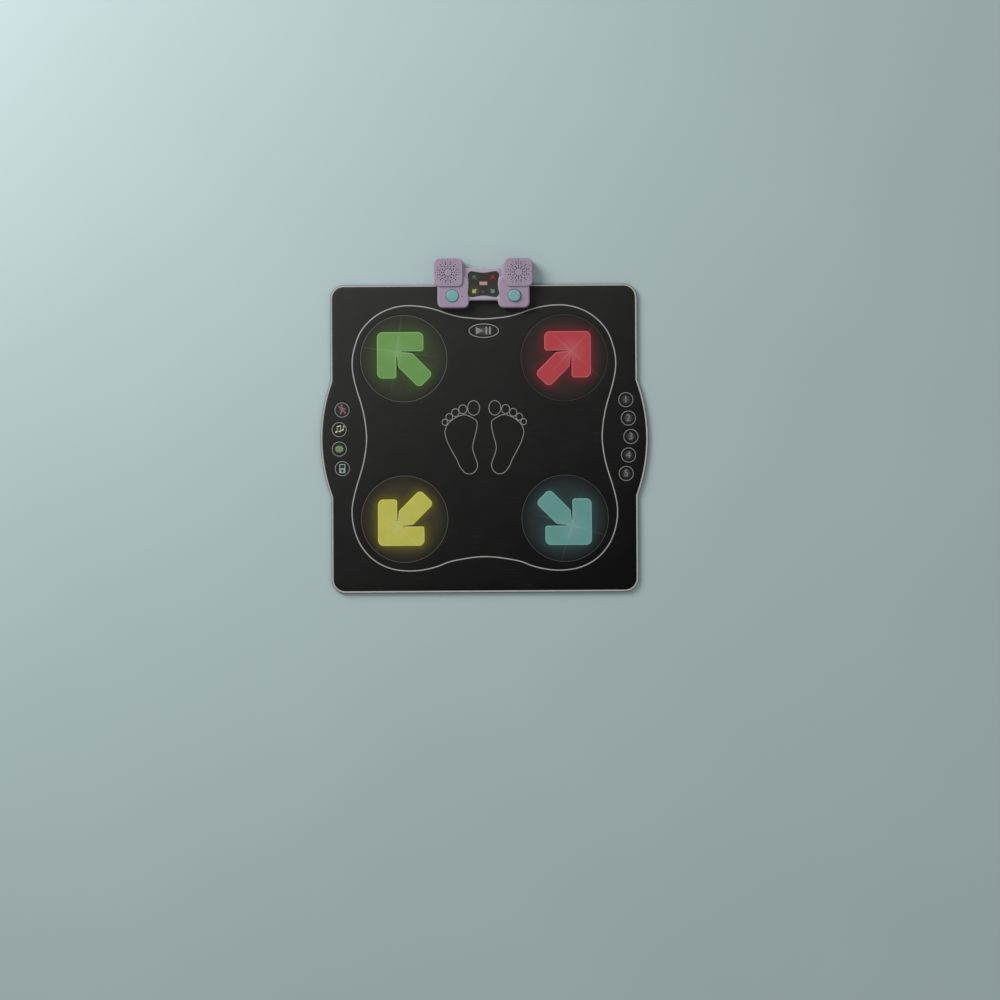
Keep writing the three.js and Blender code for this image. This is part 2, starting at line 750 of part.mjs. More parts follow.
function lowerCasing() {
  const outer = casingForm(footHeight, 0, splitHeight, splitHeight, plate);
  const inner = casingForm(floorTop, casingWall, splitHeight + cutOverrun, splitHeight + cutOverrun, plate);
  const overMat = unitBlock(unitFront, matClearance, 0, shelfBottom);
  const shelf = unitBlock(unitFront, matClearance + casingWall, 0, shelfTop);
  const shell = cut(outer, cut(inner, shelf), overMat);
  const bayEnds = [-1, 1].map((side) => {
    const near = side * bayHalfLength;
    const far = side * (bayHalfLength + bayWall);
    return block(Math.min(near, far), Math.max(near, far), bayFront - bayWall, bayRear + casingWall / 2,
      floorTop - casingWall / 2, splitHeight);
  });
  const bayHead = block(-bayHalfLength - bayWall, bayHalfLength + bayWall, bayFront - bayWall, bayFront,
    floorTop - casingWall / 2, postTop);
  const posts = [-1, 1].map((side) => cylinder(postRadius, shelfTop - casingWall / 2, postTop, smallSteps,
    side * postX, postY));
  const frontBosses = unitScrewPlaces.map(([x, y]) => cylinder(bossRadius, shelfBottom, bossTop, smallSteps,
    x, y));
  const rearBosses = rearScrewPlaces.map(([x, y]) => cylinder(bossRadius, footHeight, bossTop,
    smallSteps, x, y));
  const doorBoss = cylinder(doorScrewBossRadius, floorTop - casingWall / 2, doorScrewTip + casingWall,
    smallSteps, doorScrewX, cellRowMiddle);
  const whole = joined(shell, ...bayEnds, bayHead, ...posts, ...frontBosses, ...rearBosses, doorBoss);
  const holes = [...unitScrewPlaces, ...rearScrewPlaces].map(([x, y]) => cylinder(screwHoleRadius, 0,
    bossTop + cutOverrun, smallSteps, x, y));
  const headHoles = rearScrewPlaces.map(([x, y]) => cylinder(headHoleRadius, 0, footHeight + screwHeadHeight
    + seatGap, smallSteps, x, y));
  const footHoles = [-1, 1].map((side) => cylinder(footRadius + seatGap, 0, footHeight + footRecess,
    roundSteps, side * footX, footY));
  const doorwayTop = footHeight + doorThickness + seatGap;
  const doorway = plate(doorOutline(slideGap), 0, doorwayTop);
  const bay = block(-bayHalfLength, bayHalfLength, bayFront, bayRear, 0, postTop + cutOverrun);
  const tongueSlots = [-1, 1].map((side) => {
    const middle = cellRowMiddle + side * doorTongueSpacing;
    const width = doorTongueHalfWidth + slideGap;
    return block(-doorHalfLength - doorTongueLength - slideGap, -bayHalfLength, middle - width,
      middle + width, footHeight + doorTongueThickness, floorTop);
  });
  const doorScrewHole = cylinder(screwHoleRadius, 0, doorScrewTip + screwTipClearance, smallSteps,
    doorScrewX, cellRowMiddle);
  return cut(whole, ...holes, ...headHoles, ...footHoles, doorway, bay, ...tongueSlots, doorScrewHole);
}

function displayOutline(grow) {
  const x = displayHalfWidth;
  const y = displayHalfLength;
  return roundOutline([
    [x, y, displayCornerRadius], [0, y - displayPinch, displayPinchRadius],
    [-x, y, displayCornerRadius], [-x + displayPinch, 0, displayPinchRadius],
    [-x, -y, displayCornerRadius], [0, -y + displayPinch, displayPinchRadius],
    [x, -y, displayCornerRadius], [x - displayPinch, 0, displayPinchRadius],
  ], grow).map((point) => new THREE.Vector2(point.x, point.y + displayY));
}

function upperCasing() {
  const bottom = splitHeight + seatGap;
  const make = (outline, low, high) => softPlate(outline, low - casingRound * 2, high,
    casingRound, casingRoundSteps);
  const outer = casingForm(bottom, 0, podTop, bridgeTop, make);
  const inner = casingForm(bottom - cutOverrun, casingWall, podCeiling, bridgeCeiling, plate);
  const below = unitBlock(unitFront, unitRear, -casingRound * 2, bottom);
  const bosses = [...unitScrewPlaces, ...rearScrewPlaces].map(([x, y]) => cylinder(bossRadius,
    bossTop + seatGap, podTop - casingWall / 2, smallSteps, x, y));
  const whole = joined(cut(outer, inner, below), ...bosses);
  const pilots = [...unitScrewPlaces, ...rearScrewPlaces].map(([x, y]) => cylinder(screwHoleRadius, 0,
    screwTip + screwTipClearance, smallSteps, x, y));
  const knobHoles = [-1, 1].map((side) => cylinder(knobHoleRadius, podCeiling - cutOverrun, podTop
    + cutOverrun, roundSteps, side * knobX, knobY));
  const soundHoles = [-1, 1].map((side) => cylinder(soundHoleRadius, podCeiling - cutOverrun, podTop
    + cutOverrun, roundSteps, side * speakerX, speakerY));
  const recess = plate(displayOutline(seatGap), displayBottom - seatGap, podTop);
  const window = plate(displayOutline(-displayLedge), bridgeCeiling - cutOverrun, podTop);
  const lightHole = cylinder(powerLightRadius + seatGap, podCeiling - cutOverrun, podTop + cutOverrun,
    smallSteps, powerLightX, powerLightY);
  const jackHole = jackCylinder(jackNoseRadius + seatGap, bridgeRear - casingWall - cutOverrun, bridgeRear
    + cutOverrun);
  return cut(whole, ...pilots, ...knobHoles, ...soundHoles, recess, window, lightHole, jackHole);
}

// A cylinder along Y on the axis of the aux jack
function jackCylinder(radius, front, rear) {
  const geometry = new THREE.CylinderGeometry(radius, radius, rear - front, smallSteps);
  geometry.translate(jackX, (front + rear) / 2, jackAxis);
  return solidOf(geometry);
}

function auxJack() {
  const bodyRear = bridgeRear - casingWall - seatGap;
  const body = block(jackX - jackHalfWidth, jackX + jackHalfWidth, bodyRear - jackLength, bodyRear,
    jackBottom, jackBottom + jackHeight);
  const noseRear = bridgeRear + jackNoseProud;
  const nose = jackCylinder(jackNoseRadius, bodyRear - jackNoseProud, noseRear);
  const bore = jackCylinder(jackBoreRadius, noseRear - jackBoreDepth, noseRear + cutOverrun);
  return cut(joined(body, nose), bore);
}

function speakerCover(side) {
  const [left, right] = [side * (boxInnerX + coverInnerMargin), side * (boxOuterX - coverMargin)]
    .sort((a, b) => a - b);
  const front = boxFront + coverMargin;
  const rear = boxRear - coverMargin;
  const bottom = podTop + seatGap;
  const body = softPlate(rectangle(left, right, front, rear, boxRadius - coverMargin),
    bottom - coverRound * 2, bottom + coverThickness, coverRound, edgeRoundSteps);
  const below = block(left, right, front, rear, bottom - coverRound * 2, bottom);
  const holes = [];
  for (let spoke = 0; spoke < grilleSpokes; spoke += 1) {
    const angle = (spoke / grilleSpokes) * Math.PI * 2;
    // The inner rings lie on every second spoke and the outer rings on the spokes between
    const firstRing = (spoke % 2) * (grilleRings / 2);
    for (let ring = firstRing; ring < firstRing + grilleRings / 2; ring += 1) {
      const reach = grilleInnerRadius + grilleRingPitch * ring;
      holes.push(cylinder(grilleHoleRadius, bottom - cutOverrun, bottom + coverThickness + cutOverrun,
        holeSteps, side * speakerX + reach * Math.cos(angle), speakerY + reach * Math.sin(angle)));
    }
  }
  return cut(body, below, ...holes);
}

function speaker() {
  const top = podCeiling - seatGap;
  const rimBottom = top - speakerRimThickness;
  const coneBottom = top - speakerConeDepth;
  const bottom = top - speakerDepth;
  const shoulder = speakerConeRadius + speakerRimThickness;
  return turned([
    [0, coneBottom + speakerCapHeight],
    [speakerCapRadius / 2, coneBottom + speakerCapHeight * speakerCapShoulderShare],
    [speakerCapRadius, coneBottom],
    [speakerConeRadius, rimBottom + speakerRimThickness / 2],
    [shoulder, top],
    [speakerRimRadius, top],
    [speakerRimRadius, rimBottom],
    [shoulder, rimBottom],
    [speakerMagnetRadius, bottom + speakerMagnetDepth],
    [speakerMagnetRadius, bottom],
    [0, bottom],
  ], roundSteps);
}

function screw(headBottom, tip, headRadius, headHeight) {
  const headTop = headBottom + headHeight;
  return turned([[0, headBottom], [headRadius, headBottom], [headRadius, headTop],
    [screwShankRadius, headTop], [screwShankRadius, tip], [0, tip]], smallSteps);
}

function powerButton() {
  const top = podTop + buttonProud;
  const lipRadius = knobRadius + buttonLip;
  return turned([[0, buttonBottom], [lipRadius, buttonBottom], [lipRadius, buttonLipTop],
    [knobRadius, buttonLipTop], [knobRadius, top - knobRound], [knobRadius - knobRound, top - buttonCrown],
    [knobRadius / 2, top], [0, top]], roundSteps);
}

function volumeDial() {
  const outline = [];
  const count = dialFlutes * dialStepsPerFlute;
  for (let i = 0; i < count; i += 1) {
    const angle = (i / count) * Math.PI * 2;
    const reach = knobRadius - dialFluteDepth * (1 - Math.cos(angle * dialFlutes)) / 2;
    outline.push(new THREE.Vector2(reach * Math.cos(angle), reach * Math.sin(angle)));
  }
  const top = podTop + dialProud;
  const body = softPlate(outline, dialBottom, top, knobRound, edgeRoundSteps);
  const bore = cylinder(dialShaftRadius + seatGap, dialBottom - cutOverrun, top - dialShaftDepth + seatGap,
    smallSteps);
  const mark = block(-dialMarkWidth / 2, dialMarkWidth / 2, knobRadius - knobRound - dialMarkLength,
    knobRadius - knobRound, top - dialMarkDepth, top + cutOverrun);
  return cut(body, bore, mark);
}

function displayWindow() {
  const arrows = arrowColours.map(({ turn }, i) => {
    const outline = arrowOutline(indicatorRadius, seatGap, false);
    const [sideX, sideY] = quarters[i];
    return outline.map((point) => point.clone().rotateAround(new THREE.Vector2(), quarterTurn * turn)
      .add(new THREE.Vector2(sideX * indicatorX, sideY * indicatorY + displayY)));
  });
  const light = rectangle(-displayLightHalfWidth, displayLightHalfWidth, displayLightY
    - displayLightHalfLength, displayLightY + displayLightHalfLength, displayLightRadius, seatGap);
  const button = circle(connectRadius + slideGap, smallSteps, 0, connectY);
  return plate(displayOutline(0), displayBottom, displayTop, [...arrows, light, button]);
}

function connectButton() {
  const top = displayTop + connectProud;
  const lipRadius = connectRadius + connectLip;
  return turned([[0, connectBottom], [lipRadius, connectBottom], [lipRadius, connectLipTop],
    [connectRadius, connectLipTop], [connectRadius, top - connectRound],
    [connectRadius - connectRound, top], [0, top]], smallSteps);
}

function mainBoard() {
  const half = [
    [circuitWingInnerX, circuitFront, circuitRadius],
    [circuitWingInnerX, circuitWingFront, circuitRadius],
    [circuitHalfWidth, circuitWingFront, circuitRadius],
    [circuitHalfWidth, circuitWingRear, circuitRadius],
    [circuitNeckHalfWidth, circuitWingRear, circuitRadius],
    [circuitNeckHalfWidth, circuitRear, circuitRadius],
  ];
  const mirrored = half.map(([x, y, radius]) => [-x, y, radius]).reverse();
  const board = plate(roundOutline([...half, ...mirrored]), circuitBottom, circuitTop);
  const overlap = circuitThickness / 2;
  const switchTop = circuitTop + switchHeight;
  const plungerTop = buttonBottom - buttonTravel - seatGap;
  const powerSwitch = block(-knobX - switchHalfSize, -knobX + switchHalfSize, knobY - switchHalfSize,
    knobY + switchHalfSize, circuitTop - overlap, switchTop);
  const plunger = cylinder(plungerRadius, circuitTop, plungerTop, smallSteps, -knobX, knobY);
  const control = cylinder(controlRadius, circuitTop - overlap, circuitTop + controlHeight, smallSteps,
    knobX, knobY);
  const shaft = cylinder(dialShaftRadius, circuitTop, podTop + dialProud - dialShaftDepth, smallSteps,
    knobX, knobY);
  const chip = block(-chipHalfSize, chipHalfSize, chipY - chipHalfSize, chipY + chipHalfSize, circuitTop
    - overlap, circuitTop + chipHeight);
  const connectSwitch = block(-tactHalfSize, tactHalfSize, connectY - tactHalfSize, connectY + tactHalfSize,
    circuitTop - overlap, circuitTop + tactHeight);
  const connectPlungerTop = connectBottom - connectTravel - seatGap;
  const connectPlunger = cylinder(plungerRadius, circuitTop, connectPlungerTop, smallSteps, 0, connectY);
  return joined(board, powerSwitch, plunger, control, shaft, chip, connectSwitch, connectPlunger);
}

function batteryCell() {
  const geometry = new THREE.LatheGeometry([
    new THREE.Vector2(0, 0), new THREE.Vector2(cellRadius, 0),
    new THREE.Vector2(cellRadius, cellLength - cellCapHeight),
    new THREE.Vector2(cellCapRadius, cellLength - cellCapHeight),
    new THREE.Vector2(cellCapRadius, cellLength), new THREE.Vector2(0, cellLength),
  ], smallSteps);
  geometry.rotateZ(-quarterTurn);
  geometry.translate(-cellLength / 2, 0, 0);
  return solidOf(geometry);
}

function batteryDoor() {
  const top = footHeight + doorThickness;
  const panel = plate(doorOutline(0), footHeight, top);
  const tongues = [-1, 1].map((side) => {
    const middle = cellRowMiddle + side * doorTongueSpacing;
    return block(-doorHalfLength - doorTongueLength, -doorHalfLength + doorTongueLength, middle
      - doorTongueHalfWidth, middle + doorTongueHalfWidth, top - doorTongueThickness, top);
  });
  const shankHole = cylinder(screwHoleRadius, 0, top + cutOverrun, smallSteps, doorScrewX, cellRowMiddle);
  const headHole = cylinder(doorScrewHeadRadius + seatGap, 0, footHeight + doorScrewHeadHeight + seatGap,
    smallSteps, doorScrewX, cellRowMiddle);
  return cut(joined(panel, ...tongues), shankHole, headHole);
}

function addBatteries(group) {
  const rows = [cellRowMiddle - cellRowPitch / 2, cellRowMiddle + cellRowPitch / 2];
  for (const [row, y] of rows.entries()) {
    for (const side of [-1, 1]) {
      const name = `battery_cell_${row * 2 + (side > 0 ? 2 : 1)}`;
      const cell = addPiece(group, name, batteryCell(), cellWrap);
      cell.position.set(side * (cellLength + seatGap) / 2, y, cellAxis);
      cell.rotation.z = row === 0 ? 0 : quarterTurn * 2;
    }
  }
  for (const [side, name] of [[-1, 'battery_contact_left'], [1, 'battery_contact_right']]) {
    const left = side > 0 ? contactInner : -contactInner - contactThickness;
    const contact = block(left, left + contactThickness, bayFront + contactMargin, bayRear - contactMargin,
      cellBottom + contactMargin, cellBottom + contactHeight);
    addPiece(group, name, contact, steel);
  }
  addPiece(group, 'battery_door', batteryDoor(), lilacPlastic);
  const doorScrew = screw(footHeight, doorScrewTip, doorScrewHeadRadius, doorScrewHeadHeight);
  addPiece(group, 'battery_door_screw', doorScrew, steel).position.set(doorScrewX, cellRowMiddle, 0);
}

function addScrewsAndFeet(group) {
  const frontHead = filmTop - screwHeadHeight;
  for (const [i, side] of ['left', 'right'].entries()) {
    const frontScrew = screw(frontHead, screwTip, screwHeadRadius, screwHeadHeight);
    addPiece(group, `front_screw_${side}`, frontScrew, steel).position.set(...unitScrewPlaces[i], 0);
    const rearScrew = screw(footHeight, screwTip, screwHeadRadius, screwHeadHeight);
    addPiece(group, `rear_screw_${side}`, rearScrew, steel).position.set(...rearScrewPlaces[i], 0);
    const foot = cylinder(footRadius, 0, footHeight + footRecess - seatGap, roundSteps);
    addPiece(group, `rear_foot_${side}`, foot, darkRubber).position.set(footX * (i * 2 - 1), footY, 0);
  }
}

function addSpeakers(group) {
  for (const [sign, side] of [[-1, 'left'], [1, 'right']]) {
    addPiece(group, `speaker_${side}`, speaker(), paperCone).position.set(sign * speakerX, speakerY, 0);
    addPiece(group, `speaker_cover_${side}`, speakerCover(sign), lilacCover);
  }
}

function addDisplay(group) {
  addPiece(group, 'display_window', displayWindow(), blackGloss);
  const lensTop = displayTop + lensProud;
  for (const [i, { name, turn, finish }] of arrowColours.entries()) {
    const lens = plate(arrowOutline(indicatorRadius, 0, false), lensTop - lensThickness, lensTop);
    const mesh = addPiece(group, `indicator_lens_${name}`, lens, finish);
    mesh.position.set(quarters[i][0] * indicatorX, quarters[i][1] * indicatorY + displayY, 0);
    mesh.rotation.z = quarterTurn * turn;
  }
  const light = plate(rectangle(-displayLightHalfWidth, displayLightHalfWidth, displayLightY
    - displayLightHalfLength, displayLightY + displayLightHalfLength, displayLightRadius), lensTop
    - lensThickness, lensTop);
  addPiece(group, 'display_light', light, pinkLens);
  addPiece(group, 'connect_button', connectButton(), tealPlastic).position.set(0, connectY, 0);
}

function addControls(group) {
  addPiece(group, 'power_button', powerButton(), tealPlastic).position.set(-knobX, knobY, 0);
  addPiece(group, 'volume_dial', volumeDial(), tealPlastic).position.set(knobX, knobY, 0);
  const light = cylinder(powerLightRadius, circuitTop + seatGap, podTop + powerLightProud, smallSteps);
  addPiece(group, 'power_light', light, pinkLens).position.set(powerLightX, powerLightY, 0);
  addPiece(group, 'main_board', mainBoard(), boardGreen);
  addPiece(group, 'aux_jack', auxJack(), blackPlastic);
}

function addCasing(group) {
  addPiece(group, 'lower_casing', lowerCasing(), lilacPlastic);
  addPiece(group, 'upper_casing', upperCasing(), lilacPlastic);
}

const danceMat = new THREE.Group();
const mat = new THREE.Group();
addMatLayers(mat);
addSpots(mat);
addPads(mat);
const unit = new THREE.Group();
addCasing(unit);
addScrewsAndFeet(unit);
addSpeakers(unit);
addControls(unit);
addDisplay(unit);
addBatteries(unit);
danceMat.add(mat, unit);
mat.position.y = -boxRear / 2;
unit.position.y = matHalfLength - boxRear / 2;

export default danceMat;
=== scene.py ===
"""Electronic dance mat with its control unit: the finished look of each piece.

Laid out as an add-on and run as a script. Lengths are in metres, in the frame of the solids:
X to the right, Y to the rear, Z up, with the floor at zero.
"""
import math
from functools import partialmethod

import bpy
import numpy as np
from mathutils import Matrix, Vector, noise
from mathutils.geometry import delaunay_2d_cdt


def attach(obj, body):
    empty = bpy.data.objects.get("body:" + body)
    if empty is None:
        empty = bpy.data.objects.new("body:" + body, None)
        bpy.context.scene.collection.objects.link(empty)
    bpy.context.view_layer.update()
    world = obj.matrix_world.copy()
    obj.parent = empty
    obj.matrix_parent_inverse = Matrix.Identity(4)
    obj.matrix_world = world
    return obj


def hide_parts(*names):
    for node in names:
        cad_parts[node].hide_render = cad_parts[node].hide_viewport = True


bl_info = {
    "name": "Dance Mat",
    "version": (1, 0, 0),
    "blender": (4, 5, 0),
    "location": "View3D > Sidebar > Dance Mat",
    "description": "Builds a dance mat and its control unit over the frame of their solids",
    "category": "Object",
}

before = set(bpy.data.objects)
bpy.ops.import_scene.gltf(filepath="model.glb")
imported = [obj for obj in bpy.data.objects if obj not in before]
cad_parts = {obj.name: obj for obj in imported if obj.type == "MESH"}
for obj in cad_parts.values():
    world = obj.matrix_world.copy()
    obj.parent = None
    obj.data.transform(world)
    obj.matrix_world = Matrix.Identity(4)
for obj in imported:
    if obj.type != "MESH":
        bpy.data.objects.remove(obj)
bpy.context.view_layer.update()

MM = 0.001
ROOT = "mat_with_unit"
MAT_MIDDLE = Vector((0, -0.035))
UNIT_ORIGIN = Vector((0, 0.388))
SIDES = (("left", -1), ("right", 1))

# The mat, from its own middle
MAT_HALF = Vector((0.4215, 0.423))
MAT_CORNER = 0.038
BULGE_REACH, BULGE_RADIUS = 0.0285, 0.458
EDGING_WIDTH = 0.006
LAYER_INSET = EDGING_WIDTH + 0.0003
SPOT_REACH, SPOT_RADIUS, SPOT_LIP = 0.22, 0.12, 0.004
PAD_RADIUS, PAD_LIP = 0.0214, 0.0014
START_HALF = Vector((0.0446, 0.0214))
SCREWS = [Vector((side * 0.113, 0.368)) + MAT_MIDDLE for _, side in SIDES]
SHANK_RADIUS = 0.0018
MODE_PLACES = [(-0.3899, 0.08025), (-0.398, 0.02675), (-0.398, -0.02675), (-0.3899, -0.08025)]
LEVEL_PLACES = [(0.3883, 0.1042), (0.395, 0.0536), (0.4017, 0.003), (0.395, -0.0476), (0.3883, -0.0982)]
PADS = {f"{kind}_pad_{i + 1}": Vector(place) + MAT_MIDDLE
        for kind, places in (("mode", MODE_PLACES), ("level", LEVEL_PLACES))
        for i, place in enumerate(places)}
START_MIDDLE = Vector((0, 0.2956)) + MAT_MIDDLE

# Heights of the layers
BASE_TOP = 0.0012
FOAM_BOTTOM, FOAM_STEP, FOAM_TOP = 0.0022, 0.0045, 0.0082
COVER_BOTTOM, COVER_TOP = 0.0085, 0.0097
SPOT_BOTTOM, SPOT_TOP = 0.0067, 0.0102
PAD_BOTTOM, PAD_TOP = 0.007, 0.0099
EDGING_TOP, EDGING_LOW = 0.01, 0.0015

# The control unit, from the middle of the mat's rear edge
KNOB_X, KNOB_Y, KNOB_RADIUS = 0.085, -0.0334, 0.016
SPEAKER_X, SPEAKER_Y = 0.0965, 0.0305
DISPLAY_Y = -0.0015
INDICATOR_X, INDICATOR_Y, INDICATOR_RADIUS = 0.0245, 0.0186, 0.0098
UNIT_UPPER, BRIDGE_TOP, POD_TOP = 0.0163, 0.029, 0.033
WINDOW_BOTTOM, WINDOW_TOP, LENS_BOTTOM, LENS_TOP = 0.0276, 0.0296, 0.0268, 0.0298

# Each spot: its quarter, its lens, the turn of the painted rays of a glint in degrees, the colours of
# the painted glow of its lit arrow, at the arrow and away from it, and the colour of its faint printed ring
SPOTS = {
    "red": (1, 1, (0.50, 0.20, 0.20), 47,
            (0.445, 0.155, 0.16), (0.235, 0.178, 0.178), (0.24, 0.19, 0.185)),
    "green": (-1, 1, (0.30, 0.38, 0.24), -8,
              (0.22, 0.345, 0.14), (0.242, 0.255, 0.205), (0.38, 0.39, 0.34)),
    "yellow": (-1, -1, (0.68, 0.69, 0.45), 48,
               (0.41, 0.385, 0.06), (0.252, 0.235, 0.178), (0.38, 0.34, 0.27)),
    "teal": (1, -1, (0.44, 0.52, 0.50), -17,
             (0.165, 0.31, 0.30), (0.19, 0.22, 0.23), (0.26, 0.28, 0.285)),
}
# How far out from the middle of each spot the painted rays of a glint cross
STAR_SHIFT = 0.019
BRIDGE_COLOUR = (0.655, 0.625, 0.675)
# Colours of the painted glow under the symbols of the pads
PAINTED_HALO_COLOURS = {"grey": (0.36, 0.36, 0.365), "pink": (0.36, 0.26, 0.27), "green": (0.23, 0.31, 0.21),
                "plain": (0.19, 0.19, 0.185)}
PRINT_COLOURS = {"footprint": (0.55, 0.55, 0.54), "icon_pink": (0.50, 0.36, 0.39),
                 "icon_yellow": (0.80, 0.79, 0.60), "icon_green": (0.45, 0.55, 0.36),
                 "icon_blue": (0.56, 0.62, 0.615), "icon_pale": (0.58, 0.57, 0.575),
                 "icon_grey": (0.50, 0.50, 0.50)}


# Sizes and colours that a user may change

def colour_property(name, description, value):
    return bpy.props.FloatVectorProperty(name=name, description=description, default=value, size=3,
                                         min=0, max=1, subtype="COLOR_GAMMA")


def length_property(name, description, value, low, high):
    return bpy.props.FloatProperty(name=name, description=description, default=value, min=low, max=high,
                                   unit="LENGTH")


def power_property(name, description, value):
    return bpy.props.FloatProperty(name=name, description=description, default=value, min=0,
                                   subtype="POWER", unit="POWER")


class DanceMatSettings(bpy.types.PropertyGroup):
    line_width: length_property("Printed line", "Width of the long line printed round the spots",
                                0.003, 0.001, 0.01)
    print_height: length_property("Print height", "How far the printed marks stand over the cloth",
                                  0.00012, 0.00002, 0.001)
    wave_height: length_property("Wave height", "How far the cloth rises in its gentle waves",
                                 0.00045, 0, 0.0005)
    spot_crown: length_property("Spot crown", "How far the middle of a dance spot stands over its edge",
                                0.0009, 0, 0.002)
    stitch_pitch: length_property("Stitch pitch", "Length from one stitch of the edging to the next",
                                  0.0042, 0.003, 0.01)
    cloth: colour_property("Cloth", "Black of the printed cover", (0.128, 0.131, 0.126))
    piping: colour_property("Piping", "Pale line of the edging", (0.74, 0.74, 0.73))
    pale_print: colour_property("Pale print", "Grey of the printed lines", (0.66, 0.66, 0.65))
    red: colour_property("Red", "Arrow of the right rear spot", (0.695, 0.24, 0.275))
    green: colour_property("Green", "Arrow of the left rear spot", (0.405, 0.575, 0.31))
    yellow: colour_property("Yellow", "Arrow of the left front spot", (0.735, 0.725, 0.315))
    teal: colour_property("Teal", "Arrow of the right front spot", (0.385, 0.595, 0.57))


class ControlUnitSettings(bpy.types.PropertyGroup):
    edge_round: length_property("Edge round", "Rounding of the upper edges of the casing",
                                0.004, 0.001, 0.006)
    voxel: length_property("Voxel", "Grain at which the moulded forms are blended into one skin",
                           0.0009, 0.0006, 0.003)
    casing: colour_property("Casing", "Lilac of the casing", (0.615, 0.545, 0.63))
    cover: colour_property("Speaker cover", "Lilac of the speaker covers", (0.605, 0.55, 0.62))
    knob: colour_property("Knob", "Teal of the button and the dial", (0.465, 0.65, 0.665))
    lamp: colour_property("Display light", "Pink of the light in the display", (0.70, 0.53, 0.50))


class StudioSettings(bpy.types.PropertyGroup):
    floor: colour_property("Floor", "Pale floor under the mat", (0.68, 0.75, 0.75))
    key_power: power_property("Key light", "Power of the large soft light from the left", 172)
    fill_power: power_property("Fill light", "Power of the large soft light from the right", 10)
    sky: bpy.props.FloatProperty(name="Sky", description="Strength of the even light from all sides",
                                 default=0.42, min=0, max=2)


# Outlines: closed loops of 2D points, anticlockwise round material and clockwise round a hole

def turned_by(point, angle):
    c, s = math.cos(angle), math.sin(angle)
    return Vector((point[0] * c - point[1] * s, point[0] * s + point[1] * c))


def placed(loop, place, angle=0.0):
    return [turned_by(point, angle) + Vector(place) for point in loop]


def at_unit(x, y):
    return UNIT_ORIGIN + Vector((x, y))


def rounded(corners, grow=0.0):
    """A loop through corners of (x, y, radius), moved out by grow."""
    places = [Vector(corner[:2]) for corner in corners]
    loop = []
    for i, place in enumerate(places):
        before = (place - places[i - 1]).normalized()
        after = (places[(i + 1) % len(places)] - place).normalized()
        turn = math.atan2(before.cross(after), before.dot(after))
        half_tan = math.tan(turn / 2)
        place = place + grow * Vector((before.y + before.x * half_tan, before.y * half_tan - before.x))
        radius = max(corners[i][2] + grow * math.copysign(1, turn), 0)
        reach = radius * abs(half_tan)
        if reach < 1e-7:
            loop.append(place)
            continue
        steps = max(math.ceil(abs(turn) / math.radians(7.5)), 2)
        arm = Vector((before.y, -before.x)) * radius * math.copysign(1, turn)
        middle = place - before * reach - arm
        loop += [middle + turned_by(arm, turn * k / steps) for k in range(steps + 1)]
    return loop


def mirrored(corners):
    return [(-x, y, radius) for x, y, radius in reversed(corners)]


def oval(half_x, half_y, steps, middle=(0, 0)):
    return [Vector((middle[0] + half_x * math.cos(a), middle[1] + half_y * math.sin(a)))
            for a in (k / steps * math.tau for k in range(steps))]


def hole(radius, steps, middle):
    return oval(radius, radius, steps, middle)[::-1]


def rectangle(left, right, front, rear, radius, grow=0.0):
    return rounded([(left, front, radius), (right, front, radius), (right, rear, radius),
                    (left, rear, radius)], grow)


def bar(start, end, width, steps=6):
    """A straight bar with round ends."""
    start, end = Vector(start), Vector(end)
    along = (end - start).normalized()
    side = Vector((along.y, -along.x)) * width / 2
    return [middle + turned_by(side, base + math.pi * k / steps)
            for middle, base in ((end, 0), (start, math.pi)) for k in range(steps + 1)]


def moved(loop, distance):
    """The loop moved to its left, into the material that it bounds."""
    found = []
    for before, point, after in zip(loop[-1:] + loop[:-1], loop, loop[1:] + loop[:1]):
        ways = (point - before).normalized(), (after - point).normalized()
        sides = [Vector((-way.y, way.x)) for way in ways]
        mitre = (sides[0] + sides[1]).normalized()
        found.append(point + mitre * distance / max(mitre.dot(sides[0]), 0.35))
    return found


def smooth_loop(points, steps):
    """A smooth closed curve through points."""
    found = []
    for i in range(len(points)):
        a, b, c, d = (Vector(points[(i + k) % len(points)]) for k in (-1, 0, 1, 2))
        for t in (k / steps for k in range(steps)):
            found.append(0.5 * (2 * b + (c - a) * t + (2 * a - 5 * b + 4 * c - d) * t * t
                                + (3 * b - a - 3 * c + d) * t ** 3))
    return found


def area_of(loops):
    return sum(a.cross(b) for loop in loops for a, b in zip(loop, loop[1:] + loop[:1])) / 2


def inside(loop, points):
    """Which of the points lie inside the loop."""
    a = np.array([tuple(p) for p in loop])
    b = np.roll(a, -1, axis=0)
    x, y = points[:, 0][:, None], points[:, 1][:, None]
    crosses = (a[:, 1] > y) != (b[:, 1] > y)
    rise = np.where(b[:, 1] == a[:, 1], 1e-12, b[:, 1] - a[:, 1])
    reach = a[:, 0] + (y - a[:, 1]) * (b[:, 0] - a[:, 0]) / rise
    return (crosses & (x < reach)).sum(axis=1) % 2 == 1


def distance_to(loop, points):
    """How far each of the points lies from the loop."""
    a = np.array([tuple(p) for p in loop])
    nearest = np.full(len(points), 1e9)
    for start, along in zip(a, np.roll(a, -1, axis=0) - a):
        t = np.clip(((points - start) @ along) / max(along @ along, 1e-18), 0, 1)
        nearest = np.minimum(nearest, np.linalg.norm(points - start - t[:, None] * along, axis=1))
    return nearest


